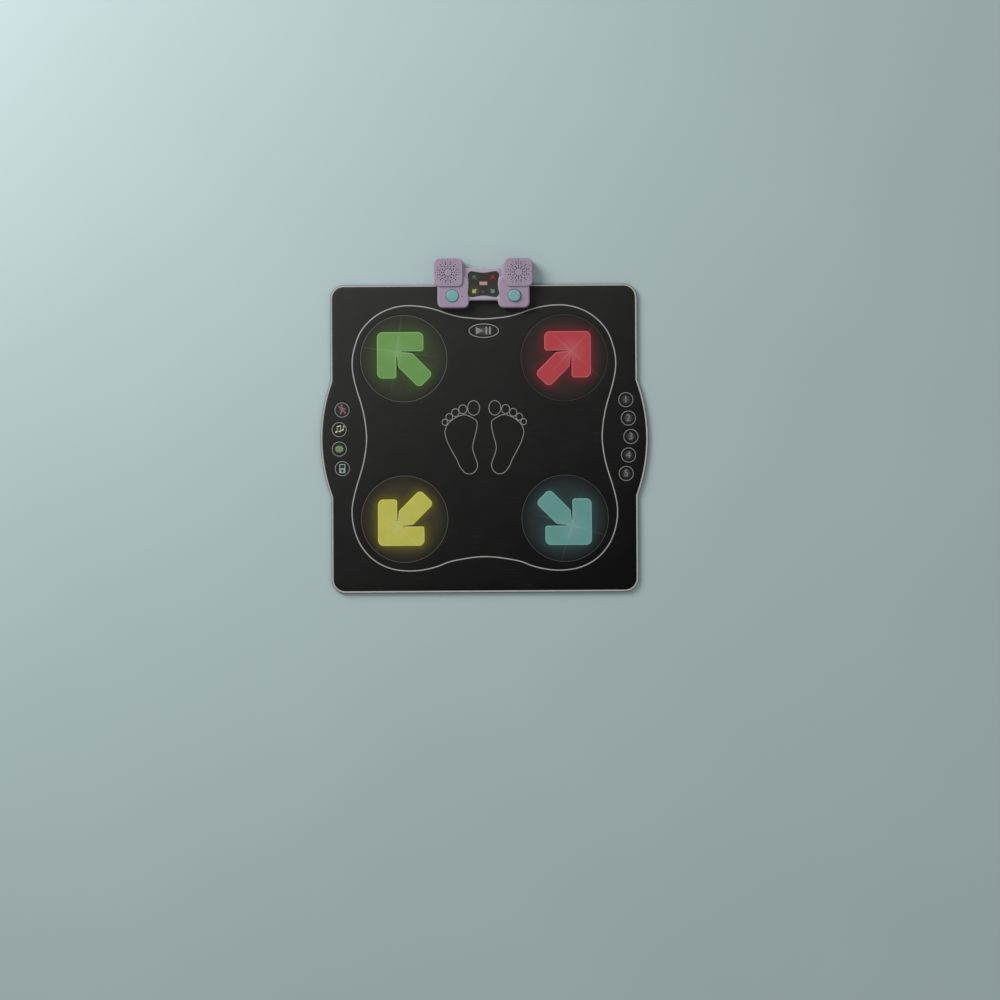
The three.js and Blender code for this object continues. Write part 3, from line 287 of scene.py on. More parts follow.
def mat_outline(inset):
    """The outline of the mat: straight sides, round corners and a shallow bulge at the left and right."""
    half = MAT_HALF - Vector((inset, inset))
    radius, arc = MAT_CORNER - inset, BULGE_RADIUS - inset
    middle = MAT_HALF.x + BULGE_REACH - BULGE_RADIUS
    sweep = math.acos((half.x - middle) / arc)
    loop = []
    for side in (1, -1):
        for angle in (sweep * (k / 16 - 1) for k in range(33)):
            loop.append(Vector((side * (middle + arc * math.cos(angle)), side * arc * math.sin(angle))))
        for i, (x, y) in enumerate([(side, side), (-side, side)]):
            start = math.pi / 2 * (i + (0 if side > 0 else 2))
            corner = Vector((x * (half.x - radius), y * (half.y - radius)))
            loop += [corner + turned_by((radius, 0), start + math.pi / 24 * k) for k in range(13)]
    return placed(loop, MAT_MIDDLE)


def arrow_outline(spot, grow=0.0, slits=True):
    """The arrow of a round spot, pointing to the right and to the rear."""
    edge, reach = spot * 0.612, spot * 0.677
    bar_end, bar_side = edge - spot * 1.067, edge - spot * 0.447
    slit_end = bar_side - spot * 0.123
    mouth = slit_end - spot * 0.232
    shaft_side = bar_side - (spot * 0.033 if slits else 0)
    slit = [(slit_end, bar_side, 0), (slit_end, bar_side - spot * 0.01, 0)]
    half = [(bar_end, edge, spot * 0.131), (bar_end, bar_side, spot * 0.066), *(slit if slits else []),
            (mouth, shaft_side, 0), (-reach, shaft_side - mouth - reach, spot * 0.115)]
    return rounded([(edge, edge, spot * 0.131), *half, *((y, x, r) for x, y, r in reversed(half))], grow)


def quarters(reach_x, reach_y, origin):
    """Each colour with the place and turn of its arrow, from the right rear quarter round."""
    for number, (name, (x, y, *_)) in enumerate(SPOTS.items()):
        yield name, origin + Vector((x * reach_x, y * reach_y)), math.pi / 2 * number


def spot_places(reach=SPOT_REACH):
    return quarters(reach, reach, MAT_MIDDLE)


# Each opening of the cover, as its middle and half sizes
OPENINGS = [(middle, SPOT_RADIUS, SPOT_RADIUS) for _, middle, _ in spot_places()]
OPENINGS += [(middle, PAD_RADIUS, PAD_RADIUS) for middle in PADS.values()]
OPENINGS += [(START_MIDDLE, *START_HALF)]


def openings(spot_gap, pad_gap):
    """A hole round each spot and pad, wider by a gap."""
    holes = []
    for middle, half_x, half_y in OPENINGS:
        gap, steps = (spot_gap, 96) if half_x == SPOT_RADIUS else (pad_gap, 48)
        holes.append(oval(half_x + gap, half_y + gap, steps, middle)[::-1])
    return holes


# Meshes

def rounding(steps, first=0):
    """How far across and down a rounded edge has gone at each step, in shares of its radius."""
    angles = (math.pi / 2 * k / steps for k in range(first, steps + 1))
    return [(1 - math.cos(a), 1 - math.sin(a)) for a in angles]


class Build:
    """The points and faces of one piece, and the finish number of each face."""

    def __init__(self):
        self.points, self.faces, self.finishes = [], [], []

    def ring(self, loop, height):
        """Adds a loop at a height, or at a height for each point, and gives its point numbers."""
        start = len(self.points)
        self.points += [(p.x, p.y, height(p.x, p.y) if callable(height) else height) for p in loop]
        return list(range(start, len(self.points)))

    def face(self, corners, finish=0):
        self.faces.append(tuple(corners))
        self.finishes.append(finish)

    def bridge(self, low, high, finish=0):
        for corners in zip(low, low[1:] + low[:1], high[1:] + high[:1], high):
            self.face(corners, finish)

    def fill(self, loops, rings, height, up=True, grid=None):
        """Fills the region between an outer loop and its holes, with points on a grid inside it."""
        def within(points):
            keep = inside(loops[0], points)
            for loop in loops[1:]:
                keep &= ~inside(loop, points)
            return keep

        extra = []
        if grid:
            box = np.array([tuple(p) for p in loops[0]])
            spans = zip(box.min(axis=0), box.max(axis=0))
            xs, ys = (np.arange(low + grid / 2, high, grid) for low, high in spans)
            nodes = np.array([(x, y) for x in xs for y in ys])
            nodes = nodes[within(nodes)]
            for loop in loops:
                nodes = nodes[distance_to(loop, nodes) > grid * 0.55]
            extra = [Vector(node) for node in nodes]
        places, edges = [], []
        for loop in loops:
            edges += [(len(places) + i, len(places) + (i + 1) % len(loop)) for i in range(len(loop))]
            places += loop
        made = delaunay_2d_cdt(places + extra, edges, [], 0, 1e-8)
        numbers = [n for ring in rings for n in ring] + self.ring(extra, height)
        sources = [numbers[source[0]] if source else None for source in made[3]]
        middles = np.array([np.mean([tuple(made[0][v]) for v in face], axis=0) for face in made[2]])
        for face, kept in zip(made[2], within(middles)):
            corners = [sources[v] for v in face]
            if kept and None not in corners:
                self.face(corners if up else reversed(corners))

    def slab(self, loops, low, high, edge=0.0, low_edge=0.0, steps=3, grid=None, border=0.0, lip=None):
        """A closed plate between two heights, with rounded edges. The first loop is its outside, the
        others are holes. border is the width of a rim in the second finish, and lip the (width, top)
        of a step round the foot of the outside."""
        level = high if callable(high) else (lambda x, y: high)
        tops, top_rings, lows, low_rings = [], [], [], []
        for number, loop in enumerate(loops):
            rows = [(low_edge * across, low + low_edge * down)
                    for across, down in (rounding(steps)[::-1] if low_edge else [(0, 0)])]
            if lip and number == 0:
                rows = [(-lip[0], low), (-lip[0], lip[1]), (0, lip[1])]
            rings = [self.ring(moved(loop, inset), z) for inset, z in rows]
            lows.append(moved(loop, rows[0][0]))
            low_rings.append(rings[0])
            for across, down in rounding(steps) if edge else [(0, 0)]:
                last = moved(loop, edge * across)
                rings.append(self.ring(last, lambda x, y, drop=edge * down: level(x, y) - drop))
            for below, above in zip(rings, rings[1:]):
                self.bridge(below, above)
            if border:
                last = moved(loop, edge + border)
                rings.append(self.ring(last, level))
                self.bridge(rings[-2], rings[-1], 1)
            tops.append(last)
            top_rings.append(rings[-1])
        self.fill(tops, top_rings, level, True, grid)
        self.fill(lows, low_rings, lambda x, y: low, False)
        return self

    def ribbon(self, path, width, surface, height):
        """A thin printed line along a closed path, a little over a surface."""
        half = width / 2
        rows = ((-half, -2), (-half, 0.4), (height - half, 1), (half - height, 1), (half, 0.4), (half, -2))
        rings = [self.ring(moved(path, inset), lambda x, y, rise=rise: surface(x, y) + rise * height)
                 for inset, rise in rows]
        for below, above in zip(rings, rings[1:] + rings[:1]):
            self.bridge(below, above)
        return self

    def patch(self, loop, surface, height, holes=()):
        """A thin printed patch, a little over a surface."""
        loops = [loop, *holes]
        tops = [moved(edge, height) for edge in loops]
        levels = [lambda x, y, rise=rise: surface(x, y) + rise * height for rise in (-2, 0.4, 1)]
        rings = []
        for low, top in zip(loops, tops):
            rings.append([self.ring(edge, level) for edge, level in zip((low, low, top), levels)])
            self.bridge(*rings[-1][:2])
            self.bridge(*rings[-1][1:])
        self.fill(tops, [ring[2] for ring in rings], levels[2])
        self.fill(loops, [ring[0] for ring in rings], levels[0], False)
        return self

    def turned(self, profile, steps, place=(0, 0), reach=lambda angle, radius: radius):
        """A turned piece: a profile of (radius, height) from the axis at the foot to the axis on top."""
        angles = [k / steps * math.tau for k in range(steps)]
        rings = []
        for radius, height in profile:
            loop = [turned_by((reach(a, radius), 0), a) for a in (angles if radius else angles[:1])]
            rings.append(self.ring(placed(loop, place), height))
        for below, above in zip(rings, rings[1:]):
            if len(below) == len(above):
                self.bridge(below, above)
                continue
            tip, wide = (below[0], above) if len(below) == 1 else (above[0], below)
            for a, b in zip(wide, wide[1:] + wide[:1]):
                self.face((tip, b, a) if wide is above else (tip, a, b))
        return self

    def piece(self, name, finish_names="", body=None, node=None, instead=True, smooth=40):
        """Turns the points and faces into an object that rides on a body, and hides the solid of the node
        unless instead is false.
        """
        mesh = bpy.data.meshes.new(name)
        mesh.from_pydata(self.points, [], self.faces)
        for finish in finish_names.split():
            mesh.materials.append(finishes[finish])
        mesh.polygons.foreach_set("material_index", self.finishes)
        mesh.polygons.foreach_set("use_smooth", [True] * len(self.faces))
        mesh.set_sharp_from_angle(angle=math.radians(smooth))
        mesh.validate()
        obj = bpy.data.objects.new(name, mesh)
        bpy.context.scene.collection.objects.link(obj)
        if body:
            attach(obj, body)
        if node:
            if instead:
                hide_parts(node)
        return obj


def measure(obj, name, distance):
    """Keeps a number for each point of a piece, which its finish reads."""
    points = np.array([tuple(vertex.co.xy) for vertex in obj.data.vertices])
    field = obj.data.attributes.new(name, "FLOAT", "POINT")
    field.data.foreach_set("value", np.asarray(distance(points), dtype=np.float32))


def distance_from(middle, squeeze=1):
    return lambda points: np.hypot((points[:, 0] - middle.x) * squeeze, points[:, 1] - middle.y)


# Finishes

class Value:
    """A number that varies over a surface. Sums written with it add Math nodes."""

    def __init__(self, tree, socket):
        self.tree, self.socket = tree, socket

    def sum(self, operation, *others):
        node = self.tree.nodes.new("ShaderNodeMath")
        node.operation = operation
        for socket, value in zip(node.inputs, (self, *others)):
            plug(self.tree, value, socket)
        return Value(self.tree, node.outputs[0])

    __add__ = __radd__ = partialmethod(sum, "ADD")
    __mul__ = __rmul__ = partialmethod(sum, "MULTIPLY")
    __sub__ = partialmethod(sum, "SUBTRACT")
    __rsub__ = partialmethod(sum, "MULTIPLY_ADD", -1)
    __truediv__ = partialmethod(sum, "DIVIDE")
    __pow__ = partialmethod(sum, "POWER")
    sine = partialmethod(sum, "SINE")
    size = partialmethod(sum, "ABSOLUTE")
    most = partialmethod(sum, "MAXIMUM")


def plug(tree, value, socket):
    if isinstance(value, Value):
        tree.links.new(value.socket, socket)
    else:
        socket.default_value = value


def linear(colour):
    """A colour as it shows on a screen, as the light that a shader counts in."""
    return (*[c / 12.92 if c <= 0.04045 else ((c + 0.055) / 1.055) ** 2.4 for c in colour[:3]], 1)


def shade(colour, factor):
    return [min(c * factor, 1) for c in colour[:3]]


class Finish:
    """A material. Constants go on the shader's own sockets, and varying values are linked to them."""

    def __init__(self, name, **constants):
        self.material = bpy.data.materials.new(name)
        self.material.use_nodes = True
        self.tree = self.material.node_tree
        self.set(constants)

    def set(self, values):
        for name, value in values.items():
            name = name.replace("_", " ").title().replace("Ior", "IOR")
            plug(self.tree, value, self.tree.nodes["Principled BSDF"].inputs[name])

    def node(self, kind, settings, values, out=0):
        """Adds a node: its settings first, then the values or links of its sockets."""
        node = self.tree.nodes.new(kind)
        for name, value in settings.items():
            setattr(node, name, value)
        for socket, value in values.items():
            plug(self.tree, value, node.inputs[socket])
        return Value(self.tree, node.outputs[out])

    def place(self):
        return self.node("ShaderNodeTexCoord", {}, {}, "Object")

    def axes(self):
        split = self.node("ShaderNodeSeparateXYZ", {}, {0: self.place()}).socket.node
        return [Value(self.tree, out) for out in split.outputs]

    def noise(self, place, size, **values):
        return self.node("ShaderNodeTexNoise", {}, {"Vector": place, "Scale": 1 / size, **values}, "Fac")

    def grain(self, size, detail=3.0):
        """Soft noise with features of that size, from 0 to 1."""
        return self.noise(self.place(), size, Detail=detail, Roughness=0.55)

    def brushed(self, size, stretch):
        """Soft noise drawn out along X."""
        x, y, _ = self.axes()
        return self.noise(self.node("ShaderNodeCombineXYZ", {}, {0: x / stretch, 1: y}), size, Detail=3)

    def cells(self, size):
        return self.node("ShaderNodeTexVoronoi", {}, {"Vector": self.place(), "Scale": 1 / size}, "Distance")

    def weave(self, pitch):
        """The height of a plain weave, from 0 to 1, in threads of that pitch."""
        x, y, _ = self.axes()
        turn = math.pi / pitch
        return (x * turn).sine() * (y * turn).sine() * 0.5 + 0.5

    def star(self, middle, turn, reach):
        """Two thin crossed rays through a point, from 0 to 1."""
        x, y, _ = self.axes()
        x, y = x - middle[0], y - middle[1]
        along = x * math.cos(turn) + y * math.sin(turn)
        across = y * math.cos(turn) - x * math.sin(turn)
        rays = [(1 - self.between(b.size(), 0.0004, 0.0034)) * (1 - self.between(a.size(), 0.0, reach))
                for a, b in ((along, across), (across, along))]
        return rays[0].most(rays[1])

    def distance(self, middle):
        """How far each place lies from a point, seen from above."""
        x, y, _ = self.axes()
        return ((x - middle[0]) ** 2 + (y - middle[1]) ** 2) ** 0.5

    def between(self, value, low, high, start=0.0, end=1.0):
        """A smooth step from start to end as the value goes from low to high."""
        return self.node("ShaderNodeMapRange", {"interpolation_type": "SMOOTHSTEP"},
                         {"Value": value, "From Min": low, "From Max": high, "To Min": start, "To Max": end})

    def mix(self, factor, a, b):
        """A colour between two colours. Plain ones are written as they show."""
        a, b = (c if isinstance(c, Value) else linear(c) for c in (a, b))
        return self.node("ShaderNodeMix", {"data_type": "RGBA"}, {0: factor, 6: a, 7: b}, 2)

    def measured(self, name):
        return self.node("ShaderNodeAttribute", {"attribute_name": name}, {}, "Fac")

    def done(self, base, roughness, height=None, depth=0.0, strength=0.5, **more):
        """Links the colour, the roughness and a bump of that depth, and gives the material."""
        if height:
            more["normal"] = self.node("ShaderNodeBump", {}, {"Height": height, "Distance": depth,
                                                              "Strength": strength})
        self.set({"base_color": base, "roughness": roughness, **more})
        return self.material


finishes = {}


def finish_cloth(name, glow=None, star=None, painted_halo=None):
    """Black printed cloth with a thin clear coat, painted lighter to the left rear and darker to the right
    front as painted light and sheen, with faint painted sheen streaks. glow holds the colours of the
    painted glow of a lit arrow, at the arrow and away from it, star the place and turn of the faint
    painted rays of a glint over it, halo the colour of the painted glow under the symbol of a pad."""
    cloth = bpy.context.scene.dance_mat.cloth
    finish = Finish(name, specular_ior_level=0.04)
    patches, fine = finish.grain(0.09, 2), finish.grain(0.0016, 2)
    x, y, _ = finish.axes()
    # Painted light and sheen: the cloth is painted lighter to the left rear and darker to the right front
    painted_light_falloff = finish.between(y * 1.24 - x * 0.8 + patches * 0.2, -1.05, 2.15)
    black = finish.mix(painted_light_falloff, shade(cloth, 0.35), shade(cloth, 1.92))
    # Painted sheen: faint lighter streaks drawn out along X
    painted_sheen_streaks = finish.between(finish.brushed(0.0035, 14), 0.5, 0.8) * finish.between(patches, 0.35, 0.65)
    black = finish.mix(painted_sheen_streaks * 0.1, black, shade(cloth, 2.6))
    reach = finish.measured("middle_distance") if glow or painted_halo else None
    # Painted glow of the lit arrow: a coloured haze round it, strongest near the star, and faint painted rays
    # of a glint
    if glow:
        painted_glow = (1 - finish.between(reach + patches * 0.01, 0.084, 0.14)) \
            * finish.between(finish.distance(star[0]), 0.03, 0.2, 1, 0.72)
        away = finish.between(finish.measured("glow_distance"), -0.02, 0.028)
        black = finish.mix(painted_glow, black, finish.mix(away, *glow))
        black = finish.mix(finish.star(*star, 0.13) * 0.3, black, [c + 0.25 for c in glow[1]])
    # Painted glow: a soft patch under the symbol of a pad
    if painted_halo:
        black = finish.mix((1 - finish.between(reach + fine * 0.003, 0.001, 0.018)) * 0.85, black, painted_halo)
    return finish.done(black, fine * 0.14 + finish.grain(0.03, 2) * 0.1 + 0.42,
                       finish.weave(0.0009) * 0.5 + fine * 0.5, 0.00006, 0.6)


def finish_plastic(name, colour, roughness=0.38, grain=0.0006, depth=0.00002, pale=1.036, bridge=None):
    """Moulded plastic with a fine spark-eroded grain and slightly uneven gloss. bridge is the colour
    between the pods."""
    finish = Finish(name)
    soft, fine = finish.grain(0.04, 2), finish.grain(grain, 2)
    base = finish.mix(soft, shade(colour, 0.94), shade(colour, pale))
    if bridge:
        x, _, _ = finish.axes()
        base = finish.mix(1 - finish.between(x.size() + soft * 0.008, 0.036, 0.054), base, bridge)
    return finish.done(base, soft * 0.08 + fine * 0.1 + (roughness - 0.08), fine, depth)


def finish_print(name, colour, roughness=0.5):
    """Screen-printed ink with slightly uneven cover."""
    finish = Finish(name)
    speckle, soft = finish.grain(0.0012, 3), finish.grain(0.03, 2)
    base = finish.mix(finish.between(speckle * 0.7 + soft * 0.3, 0.3, 0.6), shade(colour, 0.86), colour)
    return finish.done(base, speckle * 0.15 + roughness - 0.07, speckle, 0.00002)


def finish_gloss():
    """Black gloss with a dim painted glow of each lens round it."""
    finish = Finish("display_gloss")
    soft = finish.grain(0.01, 2)
    base = finish.mix(soft, (0.15, 0.145, 0.14), (0.19, 0.175, 0.17))
    for name, place, _ in quarters(INDICATOR_X, INDICATOR_Y, at_unit(0, DISPLAY_Y)):
        # Painted glow: each lens's colour is painted faintly on the black round it
        painted_lens_glow = 1 - finish.between(finish.distance(place) + soft * 0.006, 0.006, 0.026)
        base = finish.mix(painted_lens_glow * 0.6, base, shade(getattr(bpy.context.scene.dance_mat, name), 0.4))
    return finish.done(base, soft * 0.06 + 0.14, soft, 0.00001, 0.4)


def finish_film(name, colour, star):
    """Translucent coloured film, painted paler round the star as a painted glow, with faint painted rays of a
    glint over it.
    """
    finish = Finish(name, specular_ior_level=0.3)
    soft, fine = finish.grain(0.02, 2), finish.grain(0.0008, 2)
    # Painted glow: the film is painted paler round the star, with faint painted rays of a glint
    painted_glow = (1 - finish.between(finish.distance(star[0]), 0.0, 0.05)) * 0.36 + finish.star(*star, 0.09) * 0.4
    base = finish.mix(painted_glow * finish.between(soft, 0.1, 0.9, 0.8, 1.15),
                      finish.mix(soft, shade(colour, 0.97), shade(colour, 1.04)),
                      [c * 0.66 + 0.27 for c in colour])
    return finish.done(base, fine * 0.12 + 0.3, fine, 0.00002, 0.4)


def make_finishes():
    mat, unit = bpy.context.scene.dance_mat, bpy.context.scene.dance_unit
    f = finishes
    f["cloth"] = finish_cloth("printed_black_cloth")
    # Each spot's cloth and film carry the painted glow of its lit arrow and the painted rays of a glint
    for name, place, _ in spot_places(SPOT_REACH + STAR_SHIFT):
        _, _, lens, turn, near, far, ring = SPOTS[name]
        ink, star = getattr(mat, name), (place, math.radians(turn))
        f["spot_" + name] = finish_cloth(f"spot_cloth_{name}", (near, far), star)
        f["spot_ring_" + name] = finish_print(f"faint_ring_{name}", ring)
        f["film_" + name] = finish_film(f"arrow_film_{name}", ink, star)
        f["film_edge_" + name] = finish_print(f"arrow_edge_{name}", [c * 0.85 + 0.17 for c in ink], 0.4)
        f["lens_" + name] = finish_plastic(f"lens_{name}", lens, 0.2, 0.002)
    # The pad cloths carry the painted glow under their symbols
    for name, painted_halo in PAINTED_HALO_COLOURS.items():
        f["pad_" + name] = finish_cloth(f"pad_cloth_{name}", painted_halo=painted_halo)
    f["line"] = finish_print("pale_line_print", mat.pale_print)
    f["ring"] = finish_print("grey_ring_print", shade(mat.pale_print, 0.84))
    for name, ink in PRINT_COLOURS.items():
        f[name] = finish_print(name + "_print", ink)
    f["casing"] = finish_plastic("lilac_casing", unit.casing, 0.36)
    f["upper_casing"] = finish_plastic("lilac_upper_casing", unit.casing, 0.36, pale=1.035,
                                       bridge=BRIDGE_COLOUR)
    f["cover"] = finish_plastic("lilac_speaker_cover", unit.cover, 0.42, 0.0008, 0.00003)
    f["knob"] = finish_plastic("teal_knob", unit.knob, 0.32)
    f["dark_plastic"] = finish_plastic("dark_plastic", (0.13, 0.13, 0.14), 0.5, 0.0008, 0.00004)
    f["gloss"] = finish_gloss()
    f["lamp"] = finish_plastic("display_lamp", unit.lamp, 0.3, 0.002)
    f["led"] = finish_plastic("power_led", (0.27, 0.16, 0.20), 0.25, 0.002)
    f["grey_plastic"] = finish_plastic("connect_plastic", (0.25, 0.25, 0.27), 0.35)

    # The flank is the piping's colour darkened, as painted shade on the rounded outer side of the edging
    for name, factor in (("piping", 1), ("flank", 0.55)):
        piping = Finish(f"edge_{name}", specular_ior_level=0.3)
        threads, soft = piping.weave(0.0007), piping.grain(0.02, 3)
        base = piping.mix(threads * 0.5 + soft * 0.5, shade(mat.piping, 0.84 * factor),
                          shade(mat.piping, 1.08 * factor))
        f[name] = piping.done(base, soft * 0.15 + 0.6, threads, 0.00008, 0.7)
    thread = Finish("stitch_thread", sheen_weight=0.2)
    twist = thread.grain(0.0004, 1)
    f["thread"] = thread.done(thread.mix(twist, shade(mat.piping, 0.62), shade(mat.piping, 0.86)),
                              twist * 0.2 + 0.65, twist, 0.0001, 0.6)
    rubber = Finish("underside_rubber", specular_ior_level=0.25)
    dots, dust = 1 - rubber.between(rubber.cells(0.004), 0.22, 0.34), rubber.grain(0.05, 4)
    f["rubber"] = rubber.done(rubber.mix(dust, (0.13, 0.13, 0.14), (0.19, 0.19, 0.20)),
                              dust * 0.15 + dots * 0.1 + 0.68, dots, 0.0003, 0.8)
    foam = Finish("pale_foam")
    pores = foam.cells(0.0012)
    f["foam"] = foam.done(foam.mix(foam.grain(0.03, 3), (0.76, 0.73, 0.67), (0.84, 0.82, 0.76)),
                          pores * 0.1 + 0.86, pores, 0.0003, 0.6)
    film = Finish("contact_film")
    x, y, _ = film.axes()
    tracks = film.between((x * 700).sine() * (y * 700).sine(), 0.1, 0.3)
    f["film"] = film.done(film.mix(tracks, (0.70, 0.66, 0.56), (0.52, 0.52, 0.52)),
                          film.grain(0.01) * 0.1 + 0.35, tracks, 0.00004)
    board = Finish("circuit_board", coat_weight=0.3)
    tracks = board.between(board.cells(0.0035), 0.16, 0.2)
    f["board"] = board.done(board.mix(tracks, (0.24, 0.50, 0.34), (0.13, 0.35, 0.23)),
                            board.grain(0.004) * 0.15 + 0.35, tracks, 0.00005, 0.6)
    steel = Finish("plated_steel", metallic=1)
    brushed = steel.grain(0.0004, 2)
    f["steel"] = steel.done(steel.mix(steel.grain(0.01), (0.66, 0.67, 0.68), (0.76, 0.77, 0.78)),
                            brushed * 0.2 + 0.25, brushed, 0.00002)
    wrap = Finish("cell_wrap")
    band = wrap.between((wrap.axes()[0] * 62).sine(), 0.75, 0.8)
    f["wrap"] = wrap.done(wrap.mix(band, (0.24, 0.34, 0.47), (0.62, 0.62, 0.60)),
                          wrap.grain(0.003) * 0.15 + 0.25, metallic=band * 0.6)
    for key, name, size, detail, dark, pale, roughness, depth in (
            ("cone", "speaker_cone", 0.0007, 4, (0.12, 0.12, 0.125), (0.20, 0.20, 0.20), 0.82, 0.0001),
            ("foot", "foot_rubber", 0.0008, 3, (0.10, 0.10, 0.11), (0.16, 0.16, 0.165), 0.8, 0.00008)):
        rough = Finish(name)
        specks = rough.grain(size, detail)
        f[key] = rough.done(rough.mix(specks, dark, pale), specks * 0.1 + roughness, specks, depth, 0.6)


# The mat

def smooth_step(value):
    value = min(max(value, 0), 1)
    return value * value * (3 - 2 * value)


def cover_height(x, y):
    """The height of the printed cover: flat by its openings and under the unit, gently waved between,
    and drawn down at the sewn edge."""
    calm, settled = 1.0, 0.035
    for middle, half_x, half_y in OPENINGS:
        dx, dy = abs(x - middle.x), abs(y - middle.y)
        if dx < half_x + 0.04 and dy < half_y + 0.04:
            share = math.hypot(dx / half_x, dy / half_y)
            calm *= smooth_step((share - 1) * min(half_x, half_y) / settled)
    unit_front, unit_side, fade = 0.29, 0.17, 0.03
    if y > unit_front and abs(x) < unit_side:
        calm *= 1 - smooth_step((y - unit_front) / fade) * smooth_step((unit_side - abs(x)) / fade)
    wave = noise.noise(Vector((x * 5, y * 5, 0.3))) + 0.5 * noise.noise(Vector((x * 11, y * 11, 4.1)))
    edge_x = MAT_HALF.x + BULGE_REACH * max(0, 1 - ((y - MAT_MIDDLE.y) / 0.16) ** 2)
    near = min(edge_x - abs(x), MAT_HALF.y - abs(y - MAT_MIDDLE.y))
    seam = 1 - smooth_step((near - EDGING_WIDTH) / 0.011)
    height = bpy.context.scene.dance_mat.wave_height
    return COVER_TOP + max(min(wave, 1), -1) * height * calm * (1 - seam) - 0.0008 * seam


def crowned(middle, half_x, half_y, top, crown):
    """The height of a surface that rises to its middle."""
    def height(x, y):
        share = ((x - middle.x) / half_x) ** 2 + ((y - middle.y) / half_y) ** 2
        return top + crown * max(1 - share, 0)
    return height


def make_cover():
    loops = [mat_outline(LAYER_INSET), *openings(0.0006, 0.0006),
             *(hole(SHANK_RADIUS, 16, place) for place in SCREWS)]
    build = Build().slab(loops, COVER_BOTTOM, cover_height, edge=0.0004, steps=2, grid=0.011)
    cover = build.piece("cover_sheet", "cloth", ROOT, "top_sheet")
    area_of(loops)


def make_under_layers():
    loops = [mat_outline(0.001), *(hole(0.0035, 20, place) for place in SCREWS)]
    base = Build().slab(loops, 0.0, BASE_TOP, edge=0.0003, low_edge=0.0003, steps=2)
    sheet = base.piece("underside_sheet", "rubber", ROOT, "base_sheet")
    area_of(loops)

    loops = [mat_outline(LAYER_INSET), *openings(0.0046, 0.0019)]
    front, rear = UNIT_ORIGIN.y - 0.061, UNIT_ORIGIN.y - 0.009
    pocket = rectangle(-0.1193, 0.1193, front - 0.0003, rear + 0.0003, 0.0063)[::-1]
    shanks = [hole(SHANK_RADIUS, 16, place) for place in SCREWS]
    foam = Build().slab([*loops, pocket], FOAM_BOTTOM, FOAM_STEP, low_edge=0.0004, steps=2)
    foam.slab([*loops, *shanks], FOAM_STEP, FOAM_TOP, edge=0.0006, steps=2)
    foam.piece("foam_core", "foam", ROOT, "foam_pad")


def make_edging():
    flank, drop, crease = 0.0028, 0.0055, 0.0012
    rows = [(flank * across, EDGING_TOP - drop * down) for across, down in rounding(8)]
    rows += [(EDGING_WIDTH - crease * across, EDGING_TOP - crease * down)
             for across, down in rounding(4)[::-1]]
    rows += [(EDGING_WIDTH, EDGING_LOW + 0.0006), (EDGING_WIDTH - 0.0006, EDGING_LOW), (0.0012, EDGING_LOW),
             (0.0004, EDGING_LOW + 0.0004), (0, EDGING_LOW + 0.0012)]
    build = Build()
    rings = [build.ring(moved(mat_outline(0), inset), height) for inset, height in rows]
    for number, (below, above) in enumerate(zip(rings, rings[1:] + rings[:1])):
        # The top rows take the pale piping; the rounded outer side takes the darker flank, painted shade
        build.bridge(below, above, 1 if 7 <= number <= 12 else 0)
    build.piece("edge_piping", "flank piping", ROOT, "edge_binding")

    # A stitch from its foot up: half its length as a share of the pitch, its width and its height
    stitch = ((0.26, 0.0007, -0.0004), (0.26, 0.0007, 0.00008), (0.2, 0.0003, 0.0003))
    stitches = Build()
    pitch = bpy.context.scene.dance_mat.stitch_pitch
    path = moved(mat_outline(0), 0.0043)
    lengths = [(b - a).length for a, b in zip(path, path[1:] + path[:1])]
    count = round(sum(lengths) / pitch)
    step = sum(lengths) / count
    walked, at = 0.0, 0
    for k in range(count):
        while walked + lengths[at] < k * step:
            walked += lengths[at]
            at += 1
        way = (path[(at + 1) % len(path)] - path[at]).normalized()
        middle = path[at] + way * (k * step - walked)
        rings = [stitches.ring(bar(middle - way * pitch * share, middle + way * pitch * share, width, 3),
                               EDGING_TOP + rise) for share, width, rise in stitch]
        stitches.bridge(*rings[:2])
        stitches.bridge(*rings[1:])
        stitches.face(rings[2])
        stitches.face(rings[0][::-1])
    stitches.piece("edge_stitches", "thread", ROOT, "edge_binding", False, 70)


def make_spots():
    mat = bpy.context.scene.dance_mat
    for name, middle, turn in spot_places():
        body, panel = f"spot_{name}", f"spot_panel_{name}"
        level = crowned(middle, SPOT_RADIUS, SPOT_RADIUS, SPOT_TOP, mat.spot_crown)
        window = placed(arrow_outline(SPOT_RADIUS, 0.0003), middle, turn)
        build = Build().slab([oval(SPOT_RADIUS, SPOT_RADIUS, 120, middle), window[::-1]], SPOT_BOTTOM, level,
                             edge=0.0005, steps=2, grid=0.0042, lip=(SPOT_LIP, FOAM_TOP))
        spot = build.piece(f"spot_cloth_{name}", "spot_" + name, body, panel)
        measure(spot, "glow_distance", lambda points: distance_to(window, points))
        measure(spot, "middle_distance", distance_from(middle))
        area = math.pi * (SPOT_RADIUS + SPOT_LIP) ** 2 - area_of([window])

        ring = Build().ribbon(oval(0.1187, 0.1187, 144, middle), 0.0014, level, mat.print_height)
        ring.piece(f"spot_ring_{name}", "spot_ring_" + name, body, panel, False)
        arrow = placed(arrow_outline(SPOT_RADIUS), middle, turn)
        build = Build().slab([arrow], SPOT_BOTTOM, lambda x, y: level(x, y) + 0.0003, edge=0.0006, steps=3,
                             grid=0.0045, border=0.0024)
        build.piece(f"arrow_film_{name}", f"film_{name} film_edge_{name}", body, f"arrow_window_{name}")


